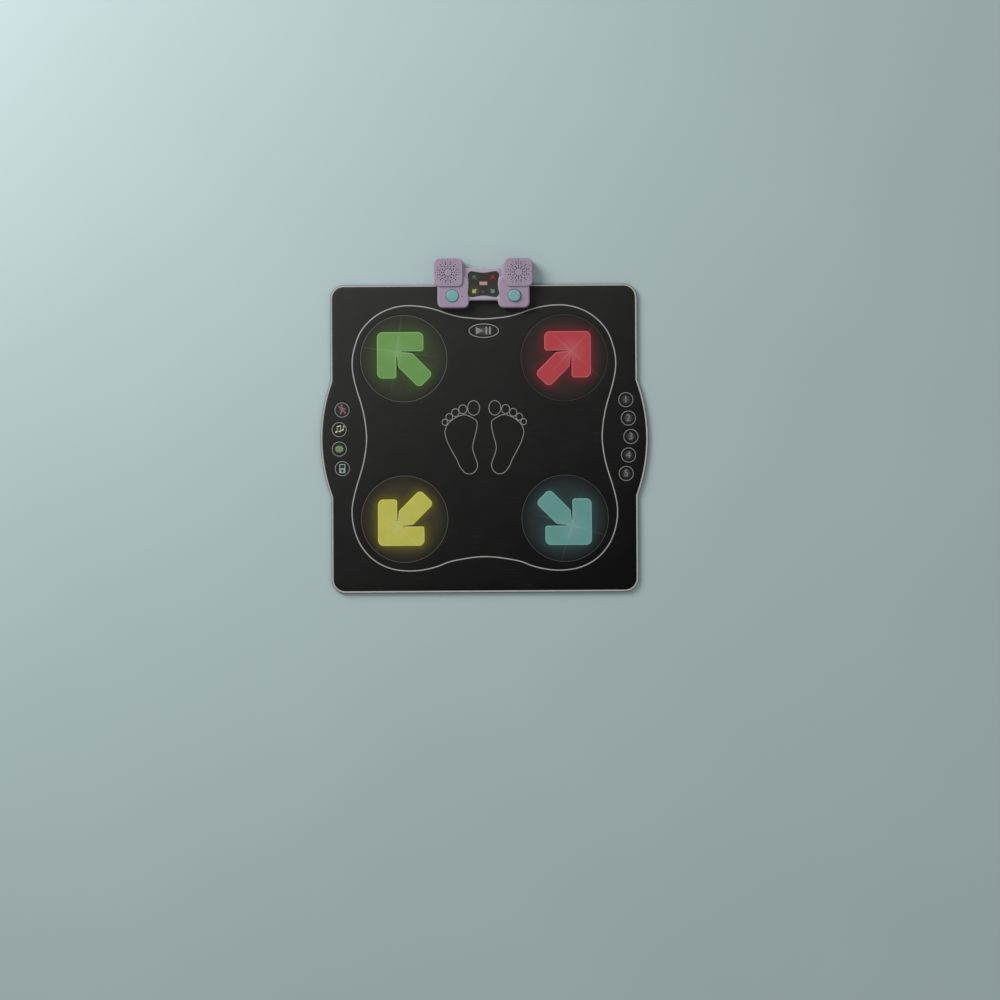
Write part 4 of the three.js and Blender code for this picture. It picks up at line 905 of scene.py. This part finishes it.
def pad_profile(crown):
    low, radius, edge = PAD_BOTTOM, PAD_RADIUS, 0.0005
    rows = [(0, low), (radius + PAD_LIP, low), (radius + PAD_LIP, FOAM_TOP), (radius, FOAM_TOP),
            (radius, PAD_TOP - edge)]
    rows += [(radius - edge * across, PAD_TOP - edge * down) for across, down in rounding(3, 1)]
    return rows + [(radius * share, PAD_TOP + crown * (1 - share * share))
                   for share in (0.93, 0.85, 0.7, 0.5, 0.3, 0.12, 0)]


def number_shape(text, size):
    """A number from the plain built-in letters, as one shape with its holes."""
    curve = bpy.data.curves.new("number", "FONT")
    curve.body, curve.size, curve.align_x, curve.align_y = text, size, "CENTER", "CENTER"
    curve.resolution_u = 6
    holder = bpy.data.objects.new("number", curve)
    bpy.context.scene.collection.objects.link(holder)
    bpy.context.view_layer.update()
    mesh = bpy.data.meshes.new_from_object(holder)
    bpy.data.objects.remove(holder)
    bpy.data.curves.remove(curve)
    ways = [(a, b) for polygon in mesh.polygons
            for a, b in zip(polygon.vertices, [*polygon.vertices[1:], polygon.vertices[0]])]
    inner = {(b, a) for a, b in ways}
    links = {a: b for a, b in ways if (a, b) not in inner}
    loops = []
    while links:
        loop, at = [], next(iter(links))
        while at in links:
            loop.append(mesh.vertices[at].co.xy.copy())
            at = links.pop(at)
        loops.append(loop)
    bpy.data.meshes.remove(mesh)
    if area_of(loops) < 0:
        loops = [loop[::-1] for loop in loops]
    loops.sort(key=lambda loop: -area_of([loop]))
    return loops[0], 1, [loop[::-1] for loop in loops[1:]]


def symbol_shapes():
    """The symbols of the mode pads: shapes of (outline, height share, holes) with a finish and the colour of
    the painted glow under them.
    """
    strokes = [((-0.0012, 0.0046), (0.0014, -0.0014), 0.0072), ((-0.003, 0.0052), (-0.0096, 0.0098), 0.0032),
               ((0.002, 0.0047), (0.0092, 0.002), 0.0032), ((0.0004, -0.002), (-0.0042, -0.0106), 0.0039),
               ((0.0026, -0.0022), (0.0086, -0.0058), 0.0039), ((0.0086, -0.0058), (0.0082, -0.0112), 0.0034)]
    figure = [(bar(*stroke), 1 + 0.12 * k, []) for k, stroke in enumerate(strokes)]
    figure.append((oval(0.0035, 0.0035, 20, (-0.0008, 0.0117)), 1, []))

    notes = []
    for k, (x, y) in enumerate([(-0.0078, -0.0065), (0.0015, -0.0048), (0.0092, -0.0013)]):
        notes.append((placed(oval(0.0032, 0.0024, 18), (x, y), 0.4), 1 + 0.1 * k, []))
        notes.append((bar((x + 0.0026, y + 0.0008), (x + 0.0026, 0.009 + 0.0008 * k), 0.0014), 1.4, []))
    notes.append((bar((-0.0051, 0.0085), (0.0041, 0.0102), 0.0028), 1.6, []))
    notes.append((bar((0.0118, 0.0108), (0.0143, 0.0064), 0.0017), 1.7, []))

    # A broad shape with a wavy edge, a bare cleft and short folds beside it
    waves = [(k / 96 * math.tau, 0.0006 * math.sin(8 * k / 96 * math.tau)) for k in range(96)]
    broad = [Vector(((0.0112 + wave) * math.cos(a), (0.0092 + wave) * math.sin(a))) for a, wave in waves]
    folds = [bar(start, end, 0.0009) for start, end in (
        ((-0.0078, -0.0006), (0.0074, 0.0006)), ((-0.0046, 0.0022), (-0.0026, 0.0058)),
        ((0.0012, 0.003), (0.0036, 0.006)), ((-0.0034, -0.0058), (-0.0012, -0.0028)),
        ((0.0028, -0.0052), (0.0048, -0.002)))]

    # A small upright device with a screen and a round key
    device = rectangle(-0.0084, 0.0084, -0.0125, 0.0125, 0.0022)
    keys = [rectangle(-0.006, 0.006, 0.0008, 0.0098, 0.0008), oval(0.0036, 0.0036, 24, (0, -0.0061))]
    return [(figure, "icon_pink", "pink"), (notes, "icon_yellow", "plain"),
            ([(broad, 1, folds)], "icon_green", "green"), ([(device, 1, keys)], "icon_blue", "plain")]


def make_symbol(name, shapes, middle, surface, finish, body):
    height = bpy.context.scene.dance_mat.print_height
    symbol = Build()
    for outline, share, holes in shapes:
        symbol.patch(placed(outline, middle), surface, height * share,
                     [placed(loop, middle)[::-1] for loop in holes])
    symbol.piece(name, finish, body, body, False)


def make_pads():
    height = bpy.context.scene.dance_mat.print_height
    crown = 0.0004
    symbols = {f"mode_pad_{i + 1}": symbol for i, symbol in enumerate(symbol_shapes())}
    for name, middle in PADS.items():
        surface = crowned(middle, PAD_RADIUS, PAD_RADIUS, PAD_TOP, crown)
        shapes, finish, painted_halo = symbols.get(name) or ([number_shape(name[-1], 0.027)], "icon_grey", "grey")
        pad = Build().turned(pad_profile(crown), 64, middle)
        # The pad cloth carries the painted glow under its symbol
        made = pad.piece(f"{name}_cloth", "pad_" + painted_halo, name, name)
        measure(made, "middle_distance", distance_from(middle))
        rim = Build().ribbon(oval(0.0195, 0.0195, 64, middle), 0.0019, surface, height)
        rim.piece(f"{name}_ring", "ring", name, name, False)
        make_symbol(f"{name}_symbol", shapes, middle, surface, finish, name)

    name, middle = "start_pad", START_MIDDLE
    surface = crowned(middle, *START_HALF, PAD_TOP, 0.0005)
    pad = Build().slab([oval(*START_HALF, 96, middle)], PAD_BOTTOM, surface, edge=0.0005, grid=0.004,
                       lip=(PAD_LIP, FOAM_TOP))
    made = pad.piece("start_pad_cloth", "pad_grey", name, name)
    measure(made, "middle_distance", distance_from(middle, 0.5))
    rim = Build().ribbon(oval(0.0405, 0.0186, 96, middle), 0.0018, surface, height)
    rim.piece("start_pad_ring", "line", name, name, False)
    shapes = [(rounded([(-0.0215, -0.0104, 0.001), (-0.0015, 0, 0.001), (-0.0215, 0.0104, 0.001)]), 1, [])]
    shapes += [(rectangle(x - 0.0024, x + 0.0024, -0.0102, 0.0102, 0.0006), 1, []) for x in (0.0075, 0.017)]
    make_symbol("start_pad_symbol", shapes, middle, surface, "icon_pale", name)


def make_prints():
    mat = bpy.context.scene.dance_mat
    right = [(0, 328), (33, 330), (66, 334), (97, 342), (128, 353), (161, 361), (194, 365), (227, 364),
             (260, 356), (291, 341), (318, 319), (339, 292), (352, 260), (360, 227), (361, 194), (356, 162),
             (348, 131), (338, 99), (330, 66), (325, 33), (323, 0), (326, -33), (332, -66), (341, -98),
             (351, -130), (359, -161), (364, -194), (362, -228), (354, -261), (340, -292), (318, -320),
             (291, -341), (259, -355), (227, -361), (194, -362), (162, -358), (130, -350), (99, -338),
             (66, -331), (33, -326), (0, -324)]
    left = [(-x, y) for x, y in right[-2:0:-1]]
    path = placed([p * MM for p in smooth_loop((right + left)[::-1], 6)], MAT_MIDDLE)
    line = Build().ribbon(path, mat.line_width, cover_height, mat.print_height)
    line.piece("printed_line", "line", ROOT, "top_sheet", False)

    # The left footprint, in steps of 2.742 mm from a corner, and its toes with their half sizes
    sole = [(465.1, 415.1), (474.9, 420.2), (476.3, 425.1), (474.9, 433.5), (472.3, 443.3), (471.8, 449.6),
            (474.2, 457.4), (476.5, 464.4), (475.6, 469.3), (472.8, 472.8), (468.6, 474.2), (463.7, 472.8),
            (458.8, 466.8), (456, 460.2), (451, 451), (446.8, 442.6), (444.4, 434.9), (444.4, 430),
            (446.8, 424.4), (451.8, 419.8), (458, 416.3)]
    toes = [(472.9, 408.2, 6.0, 7.3), (462.1, 409.5, 4.1, 4.5), (454.6, 412.8, 3.7, 3.9),
            (448.5, 417.2, 3.3, 3.5), (444.1, 422.3, 2.8, 3.0)]
    middle_x, middle_y, step = 483.5, 438.8, 2.742 * MM
    for label, side in (("left", 1), ("right", -1)):
        def on_mat(points):
            return [Vector((side * (x - middle_x) * step, (middle_y - y) * step)) + MAT_MIDDLE
                    for x, y in points]

        prints = Build()
        for loop in [smooth_loop(on_mat(sole), 4),
                     *(on_mat(oval(half_x, half_y, 28, (x, y))) for x, y, half_x, half_y in toes)]:
            prints.ribbon(loop if area_of([loop]) > 0 else loop[::-1], 0.0021, cover_height, mat.print_height)
        prints.piece(f"footprint_{label}", "footprint", ROOT, "top_sheet", False)


# Control unit

def unit_outlines(inset):
    """The outlines of the bridge, the two speaker boxes and the two pods, moved in by an inset."""
    box = [(0.052, -0.009, 0.016), (0.135, -0.009, 0.016), (0.135, 0.07, 0.016), (0.052, 0.07, 0.022)]
    half = [(0.04, -0.0454, 0.005), (0.04, -0.0509, 0), (0.075, -0.0509, 0), (0.075, 0.0489, 0),
            (0.052, 0.0489, 0), (0.052, 0.0434, 0.005)]
    forms = [("bridge", rounded(half + mirrored(half), -inset))]
    for corners, left, right in ((mirrored(box), -0.126, -0.04), (box, 0.04, 0.126)):
        forms += [("box", rounded(corners, -inset)),
                  ("pod", rectangle(left, right, -0.066, 0.02, 0.015, -inset))]
    return [(kind, placed(loop, UNIT_ORIGIN)) for kind, loop in forms]


def modify(obj, kind, **settings):
    """Adds a modifier and applies it."""
    modifier = obj.modifiers.new(kind.lower(), kind)
    for setting, value in settings.items():
        setattr(modifier, setting, value)
    bpy.context.view_layer.update()
    made = bpy.data.meshes.new_from_object(obj.evaluated_get(bpy.context.evaluated_depsgraph_get()))
    obj.modifiers.clear()
    old, obj.data = obj.data, made
    bpy.data.meshes.remove(old)


def cut_away(obj, *tools):
    """Takes blocks away: each is a loop with a low and a high level, or a form of its own."""
    for tool in tools:
        if isinstance(tool, tuple):
            tool = Build().slab([tool[0]], *tool[1:])
        block = tool.piece("cutter")
        modify(obj, "BOOLEAN", operation="DIFFERENCE", solver="EXACT", object=block)
        bpy.data.objects.remove(block)


def display_outline(grow):
    x, y, pinch = 0.046, 0.038, 0.008
    corners = [(x, y, 0.011), (0, y - pinch, 0.06), (-x, y, 0.011), (-x + pinch, 0, 0.06),
               (-x, -y, 0.011), (0, -y + pinch, 0.06), (x, -y, 0.011), (x - pinch, 0, 0.06)]
    return placed(rounded(corners, grow), at_unit(0, DISPLAY_Y))


def make_upper_casing():
    unit = bpy.context.scene.dance_unit
    build = Build()
    for kind, loop in unit_outlines(0):
        build.slab([loop], UNIT_UPPER - 0.004, BRIDGE_TOP if kind == "bridge" else POD_TOP,
                   edge=unit.edge_round, steps=6)
    shell = build.piece("upper_casing_shell")
    modify(shell, "REMESH", mode="VOXEL", voxel_size=unit.voxel, adaptivity=0)
    modify(shell, "SMOOTH", factor=0.5, iterations=4)
    modify(shell, "DECIMATE", ratio=0.3)
    cut_away(shell, (rectangle(-0.15, 0.15, 0.31, 0.47, 0), 0, UNIT_UPPER))
    wall, bridge_wall, display_wall = 0.0025, 0.0035, 0.0495
    for kind, loop in unit_outlines(wall):
        if kind == "pod":
            loop = [Vector((math.copysign(max(abs(p.x), display_wall), p.x), p.y)) for p in loop]
        cut_away(shell, (loop, 0, BRIDGE_TOP - bridge_wall if kind == "bridge" else POD_TOP - wall))
    over = 0.04
    for x, y, radius in ((KNOB_X, KNOB_Y, 0.0183), (SPEAKER_X, SPEAKER_Y, 0.026)):
        cut_away(shell, *((oval(radius, radius, 64, at_unit(side * x, y)), 0.025, over) for _, side in SIDES))
    cut_away(shell, (display_outline(0.0003), 0.0273, over), (display_outline(-0.003), 0.02, over),
             (oval(0.0017, 0.0017, 20, at_unit(-0.0587, -0.035)), 0.025, over))
    jack = Build().turned([(0, -0.01), (0.003, -0.01), (0.003, 0.01), (0, 0.01)], 24)
    jack.points = [(x + 0.003, z + 0.4314, y + 0.0214) for x, y, z in jack.points]
    jack.faces = [face[::-1] for face in jack.faces]
    cut_away(shell, jack)
    shell.data.materials.clear()
    shell.data.materials.append(finishes["upper_casing"])
    shell.data.polygons.foreach_set("use_smooth", [True] * len(shell.data.polygons))
    shell.data.set_sharp_from_angle(angle=math.radians(32))
    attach(shell, ROOT)
    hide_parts("upper_casing")


def even_shading(obj):
    obj.modifiers.new("even_shading", "WEIGHTED_NORMAL")


def make_speaker_covers():
    spokes = 24
    for label, side in SIDES:
        left, right = sorted((side * 0.057, side * 0.1335))
        loops = [placed(rectangle(left, right, -0.0075, 0.0685, 0.0145), UNIT_ORIGIN)]
        for spoke in range(spokes):
            for row in range(5):
                full = (row < 2) != (spoke % 2 == 1) and row < 4
                if spoke % 2 and not full:
                    continue
                away = turned_by((0.0115 + 0.0057 * row, 0), spoke / spokes * math.tau)
                middle = at_unit(side * SPEAKER_X, SPEAKER_Y) + away
                loops.append(hole(0.0016 if full else 0.0009, 16, middle))
        build = Build().slab(loops, POD_TOP + 0.0003, POD_TOP + 0.0039, edge=0.0006, steps=2)
        even_shading(build.piece(f"speaker_cover_{label}_shell", "cover", ROOT, f"speaker_cover_{label}"))


def make_knobs():
    radius, skirt, turn = KNOB_RADIUS, KNOB_RADIUS + 0.0013, 0.002

    def side_rows(top, dip, drop):
        rows = [(skirt, POD_TOP - 0.0012), (radius + 0.0003, POD_TOP - 0.0006), (radius, POD_TOP - 0.0003),
                (radius, top - turn)]
        return rows + [(radius - turn * across, top - dip - drop * down) for across, down in rounding(6, 1)]

    top = POD_TOP + 0.003
    rows = [(0, 0.0282), (0.02, 0.0282), (0.02, 0.0302), (skirt, 0.0302), *side_rows(top, 0.0005, 0.0015),
            (0.012, top - 0.0004), (0.0112, top - 0.0006), (0.0104, top - 0.0004), (0.008, top - 0.0001),
            (0.004, top), (0, top)]
    button = Build().turned(rows, 72, at_unit(-KNOB_X, KNOB_Y))
    even_shading(button.piece("power_button_cap", "knob", "power_button", "power_button"))

    def fluted(angle, reach):
        return reach - 0.00035 * (1 - math.cos(angle * 12)) / 2 * (0.012 < reach < 0.0162)

    place = at_unit(KNOB_X, KNOB_Y)
    low, top, shaft = POD_TOP - 0.0035, POD_TOP + 0.006, 0.0033
    rows = [(0, low + 0.005), (shaft, low + 0.005), (shaft, low), (skirt, low), *side_rows(top, 0, turn),
            (0.0125, top - 0.0001), (0.008, top - 0.0005), (0.004, top - 0.0006), (0, top - 0.0006)]
    dial = Build().turned(rows, 144, place, fluted)
    dial.piece("volume_dial_knob", "knob", "volume_dial", "volume_dial")
    mark = placed(bar((0.007, 0), (0.0128, 0), 0.0016), place)
    pointer = Build().patch(mark, lambda x, y: top - 0.00035, 0.0004)
    pointer.piece("volume_dial_mark", "icon_grey", "volume_dial", "volume_dial", False)


def make_display():
    lamp, button = (-0.0108, 0.0108, -0.0045, 0.0055, 0.001), at_unit(0, -0.023)
    lenses = list(quarters(INDICATOR_X, INDICATOR_Y, at_unit(0, DISPLAY_Y)))
    loops = [display_outline(0)]
    loops += [placed(arrow_outline(INDICATOR_RADIUS, 0.0003, False), *spot)[::-1] for _, *spot in lenses]
    loops += [placed(rectangle(*lamp, 0.0003), UNIT_ORIGIN)[::-1], hole(0.0054, 40, button)]
    window = Build().slab(loops, WINDOW_BOTTOM, WINDOW_TOP, edge=0.0005)
    even_shading(window.piece("display_panel", "gloss", ROOT, "display_window"))
    for name, *spot in lenses:
        arrow = placed(arrow_outline(INDICATOR_RADIUS), *spot)
        lens = Build().slab([arrow], LENS_BOTTOM, LENS_TOP, edge=0.0004)
        lens.piece(f"indicator_{name}", "lens_" + name, ROOT, f"indicator_lens_{name}")
    light = Build().slab([placed(rectangle(*lamp), UNIT_ORIGIN)], LENS_BOTTOM, LENS_TOP, edge=0.0005)
    light.piece("display_lamp", "lamp", ROOT, "display_light")
    radius, top, edge = 0.005, 0.0308, 0.0007
    rows = [(0, 0.0257), (0.0068, 0.0257), (0.0068, 0.0273), (radius, 0.0273), (radius, top - edge)]
    rows += [(radius - edge * across, top - edge * down) for across, down in rounding(4, 1)]
    cap = Build().turned([*rows, (0.003, 0.0306), (0, 0.0305)], 48, button)
    cap.piece("connect_button_cap", "grey_plastic", "connect_button", "connect_button")


def soft_shading():
    """Modifier nodes that shade a faceted solid smoothly, but for its edges of more than 35 degrees."""
    group = bpy.data.node_groups.new("soft_shading", "GeometryNodeTree")
    for way in ("INPUT", "OUTPUT"):
        group.interface.new_socket("Geometry", in_out=way, socket_type="NodeSocketGeometry")
    start, merged, faces, edges, end, angle, wide = (group.nodes.new(kind) for kind in (
        "NodeGroupInput", "GeometryNodeMergeByDistance", "GeometryNodeSetShadeSmooth",
        "GeometryNodeSetShadeSmooth", "NodeGroupOutput", "GeometryNodeInputMeshEdgeAngle",
        "FunctionNodeCompare"))
    merged.inputs["Distance"].default_value = 0.000001
    edges.domain = "EDGE"
    edges.inputs["Shade Smooth"].default_value = False
    wide.inputs["B"].default_value = math.radians(35)
    group.links.new(angle.outputs["Unsigned Angle"], wide.inputs["A"])
    group.links.new(wide.outputs["Result"], edges.inputs["Selection"])
    for before, after in ((start, merged), (merged, faces), (faces, edges), (edges, end)):
        group.links.new(before.outputs[0], after.inputs[0])
    return group


def dress_inner_pieces():
    shading = soft_shading()
    wanted = {"film": "contact_film", "casing": "lower_casing battery_door", "foot": "rear_foot",
              "dark_plastic": "clamp_plate aux_jack", "cone": "speaker_left speaker_right",
              "led": "power_light", "board": "main_board light_board", "wrap": "battery_cell",
              "steel": "battery_contact screw"}
    for name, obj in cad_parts.items():
        for finish, words in wanted.items():
            if "screw" in name and finish != "steel":
                continue
            if any(word in name for word in words.split()):
                obj.data.materials.clear()
                obj.data.materials.append(finishes[finish])
                obj.modifiers.new("soft_shading", "NODES").node_group = shading


# Studio

def put_up(name, data, place):
    """Puts a lamp or a camera at a place."""
    holder = bpy.data.objects.new(name, data)
    holder.location = place
    bpy.context.scene.collection.objects.link(holder)
    return holder


def make_studio():
    scene = bpy.context.scene
    studio = scene.dance_studio
    floor = Finish("studio_floor", specular_ior_level=0.1)
    soft = floor.grain(0.8, 2)
    finishes["floor"] = floor.done(floor.mix(soft, shade(studio.floor, 0.98), shade(studio.floor, 1.02)),
                                   soft * 0.1 + 0.75)
    half = 14
    ground = Build().slab([rectangle(-half, half, -half, half, 1)], -0.02, -0.0002)
    ground.piece("studio_floor", "floor")

    world = bpy.data.worlds.new("studio_sky")
    world.use_nodes = True
    background = world.node_tree.nodes["Background"]
    background.inputs["Color"].default_value = (1, 1, 1, 1)
    background.inputs["Strength"].default_value = studio.sky
    scene.world = world

    for name, place, size, strength in (("key_light", (-2.8, 2.6, 2.4), 2.7, studio.key_power),
                                        ("fill_light", (3.4, -1.8, 3.4), 3.0, studio.fill_power)):
        lamp = bpy.data.lights.new(name, "AREA")
        lamp.shape, lamp.size, lamp.energy = "DISK", size, strength
        aim = Vector((0, -0.05, 0)) - Vector(place)
        put_up(name, lamp, place).rotation_euler = aim.to_track_quat("-Z", "Y").to_euler()

    camera = bpy.data.cameras.new("photo_camera")
    camera.lens, camera.sensor_width = 85, 36
    scene.camera = put_up("photo_camera", camera, (0.0417, -0.2039, 6.484))
    scene.camera.rotation_euler = (0, 0, math.radians(-0.35))
    scene.view_settings.view_transform = "Standard"


# Operators

class DANCEMAT_OT_finishes(bpy.types.Operator):
    """Make every finish of the mat and the unit"""
    bl_idname = "dance_mat.finishes"
    bl_label = "Finishes"

    def execute(self, context):
        make_finishes()
        return {"FINISHED"}


class DANCEMAT_OT_studio(bpy.types.Operator):
    """Make the floor, the lights and the camera"""
    bl_idname = "dance_mat.studio"
    bl_label = "Studio"

    def execute(self, context):
        make_studio()
        return {"FINISHED"}


class DANCEMAT_OT_under_layers(bpy.types.Operator):
    """Make the underside sheet and the foam core"""
    bl_idname = "dance_mat.under_layers"
    bl_label = "Underside and foam"

    def execute(self, context):
        make_under_layers()
        return {"FINISHED"}


class DANCEMAT_OT_cover(bpy.types.Operator):
    """Make the printed cover sheet"""
    bl_idname = "dance_mat.cover"
    bl_label = "Cover sheet"

    def execute(self, context):
        make_cover()
        return {"FINISHED"}


class DANCEMAT_OT_edging(bpy.types.Operator):
    """Make the piping round the mat and its stitches"""
    bl_idname = "dance_mat.edging"
    bl_label = "Edging"

    def execute(self, context):
        make_edging()
        return {"FINISHED"}


class DANCEMAT_OT_spots(bpy.types.Operator):
    """Make the four dance spots with their arrows"""
    bl_idname = "dance_mat.spots"
    bl_label = "Dance spots"

    def execute(self, context):
        make_spots()
        return {"FINISHED"}


class DANCEMAT_OT_pads(bpy.types.Operator):
    """Make the round pads and the start pad"""
    bl_idname = "dance_mat.pads"
    bl_label = "Pads"

    def execute(self, context):
        make_pads()
        return {"FINISHED"}


class DANCEMAT_OT_prints(bpy.types.Operator):
    """Make the printed line and the footprints"""
    bl_idname = "dance_mat.prints"
    bl_label = "Prints"

    def execute(self, context):
        make_prints()
        return {"FINISHED"}


class DANCEMAT_OT_casing(bpy.types.Operator):
    """Make the upper casing of the control unit"""
    bl_idname = "dance_mat.casing"
    bl_label = "Casing"

    def execute(self, context):
        make_upper_casing()
        return {"FINISHED"}


class DANCEMAT_OT_speaker_covers(bpy.types.Operator):
    """Make the two speaker covers with their bursts of holes"""
    bl_idname = "dance_mat.speaker_covers"
    bl_label = "Speaker covers"

    def execute(self, context):
        make_speaker_covers()
        return {"FINISHED"}


class DANCEMAT_OT_knobs(bpy.types.Operator):
    """Make the power button and the volume dial"""
    bl_idname = "dance_mat.knobs"
    bl_label = "Button and dial"

    def execute(self, context):
        make_knobs()
        return {"FINISHED"}


class DANCEMAT_OT_display(bpy.types.Operator):
    """Make the display window with its lenses"""
    bl_idname = "dance_mat.display"
    bl_label = "Display"

    def execute(self, context):
        make_display()
        return {"FINISHED"}


class DANCEMAT_OT_inner_pieces(bpy.types.Operator):
    """Give each solid that stays its finish"""
    bl_idname = "dance_mat.inner_pieces"
    bl_label = "Inner pieces"

    def execute(self, context):
        dress_inner_pieces()
        return {"FINISHED"}


STEPS = [DANCEMAT_OT_studio, DANCEMAT_OT_finishes, DANCEMAT_OT_under_layers, DANCEMAT_OT_cover,
         DANCEMAT_OT_edging, DANCEMAT_OT_spots, DANCEMAT_OT_pads, DANCEMAT_OT_prints, DANCEMAT_OT_casing,
         DANCEMAT_OT_speaker_covers, DANCEMAT_OT_knobs, DANCEMAT_OT_display, DANCEMAT_OT_inner_pieces]


class DANCEMAT_PT_panel(bpy.types.Panel):
    """The steps and settings of the dance mat"""
    bl_idname = "DANCEMAT_PT_panel"
    bl_label = "Dance Mat"
    bl_space_type = "VIEW_3D"
    bl_region_type = "UI"
    bl_category = "Dance Mat"

    def draw(self, context):
        layout = self.layout
        for step in STEPS:
            layout.operator(step.bl_idname)
        for settings in (context.scene.dance_mat, context.scene.dance_unit, context.scene.dance_studio):
            box = layout.box()
            for name in settings.__annotations__:
                box.prop(settings, name)


CLASSES = [DanceMatSettings, ControlUnitSettings, StudioSettings, *STEPS, DANCEMAT_PT_panel]


def register():
    for cls in CLASSES:
        bpy.utils.register_class(cls)
    bpy.types.Scene.dance_mat = bpy.props.PointerProperty(type=DanceMatSettings)
    bpy.types.Scene.dance_unit = bpy.props.PointerProperty(type=ControlUnitSettings)
    bpy.types.Scene.dance_studio = bpy.props.PointerProperty(type=StudioSettings)


def unregister():
    del bpy.types.Scene.dance_studio
    del bpy.types.Scene.dance_unit
    del bpy.types.Scene.dance_mat
    for cls in reversed(CLASSES):
        bpy.utils.unregister_class(cls)


def main():
    register()
    for step in STEPS:
        group, name = step.bl_idname.split(".")
        getattr(getattr(bpy.ops, group), name)()


if __name__ == "__main__":
    main()
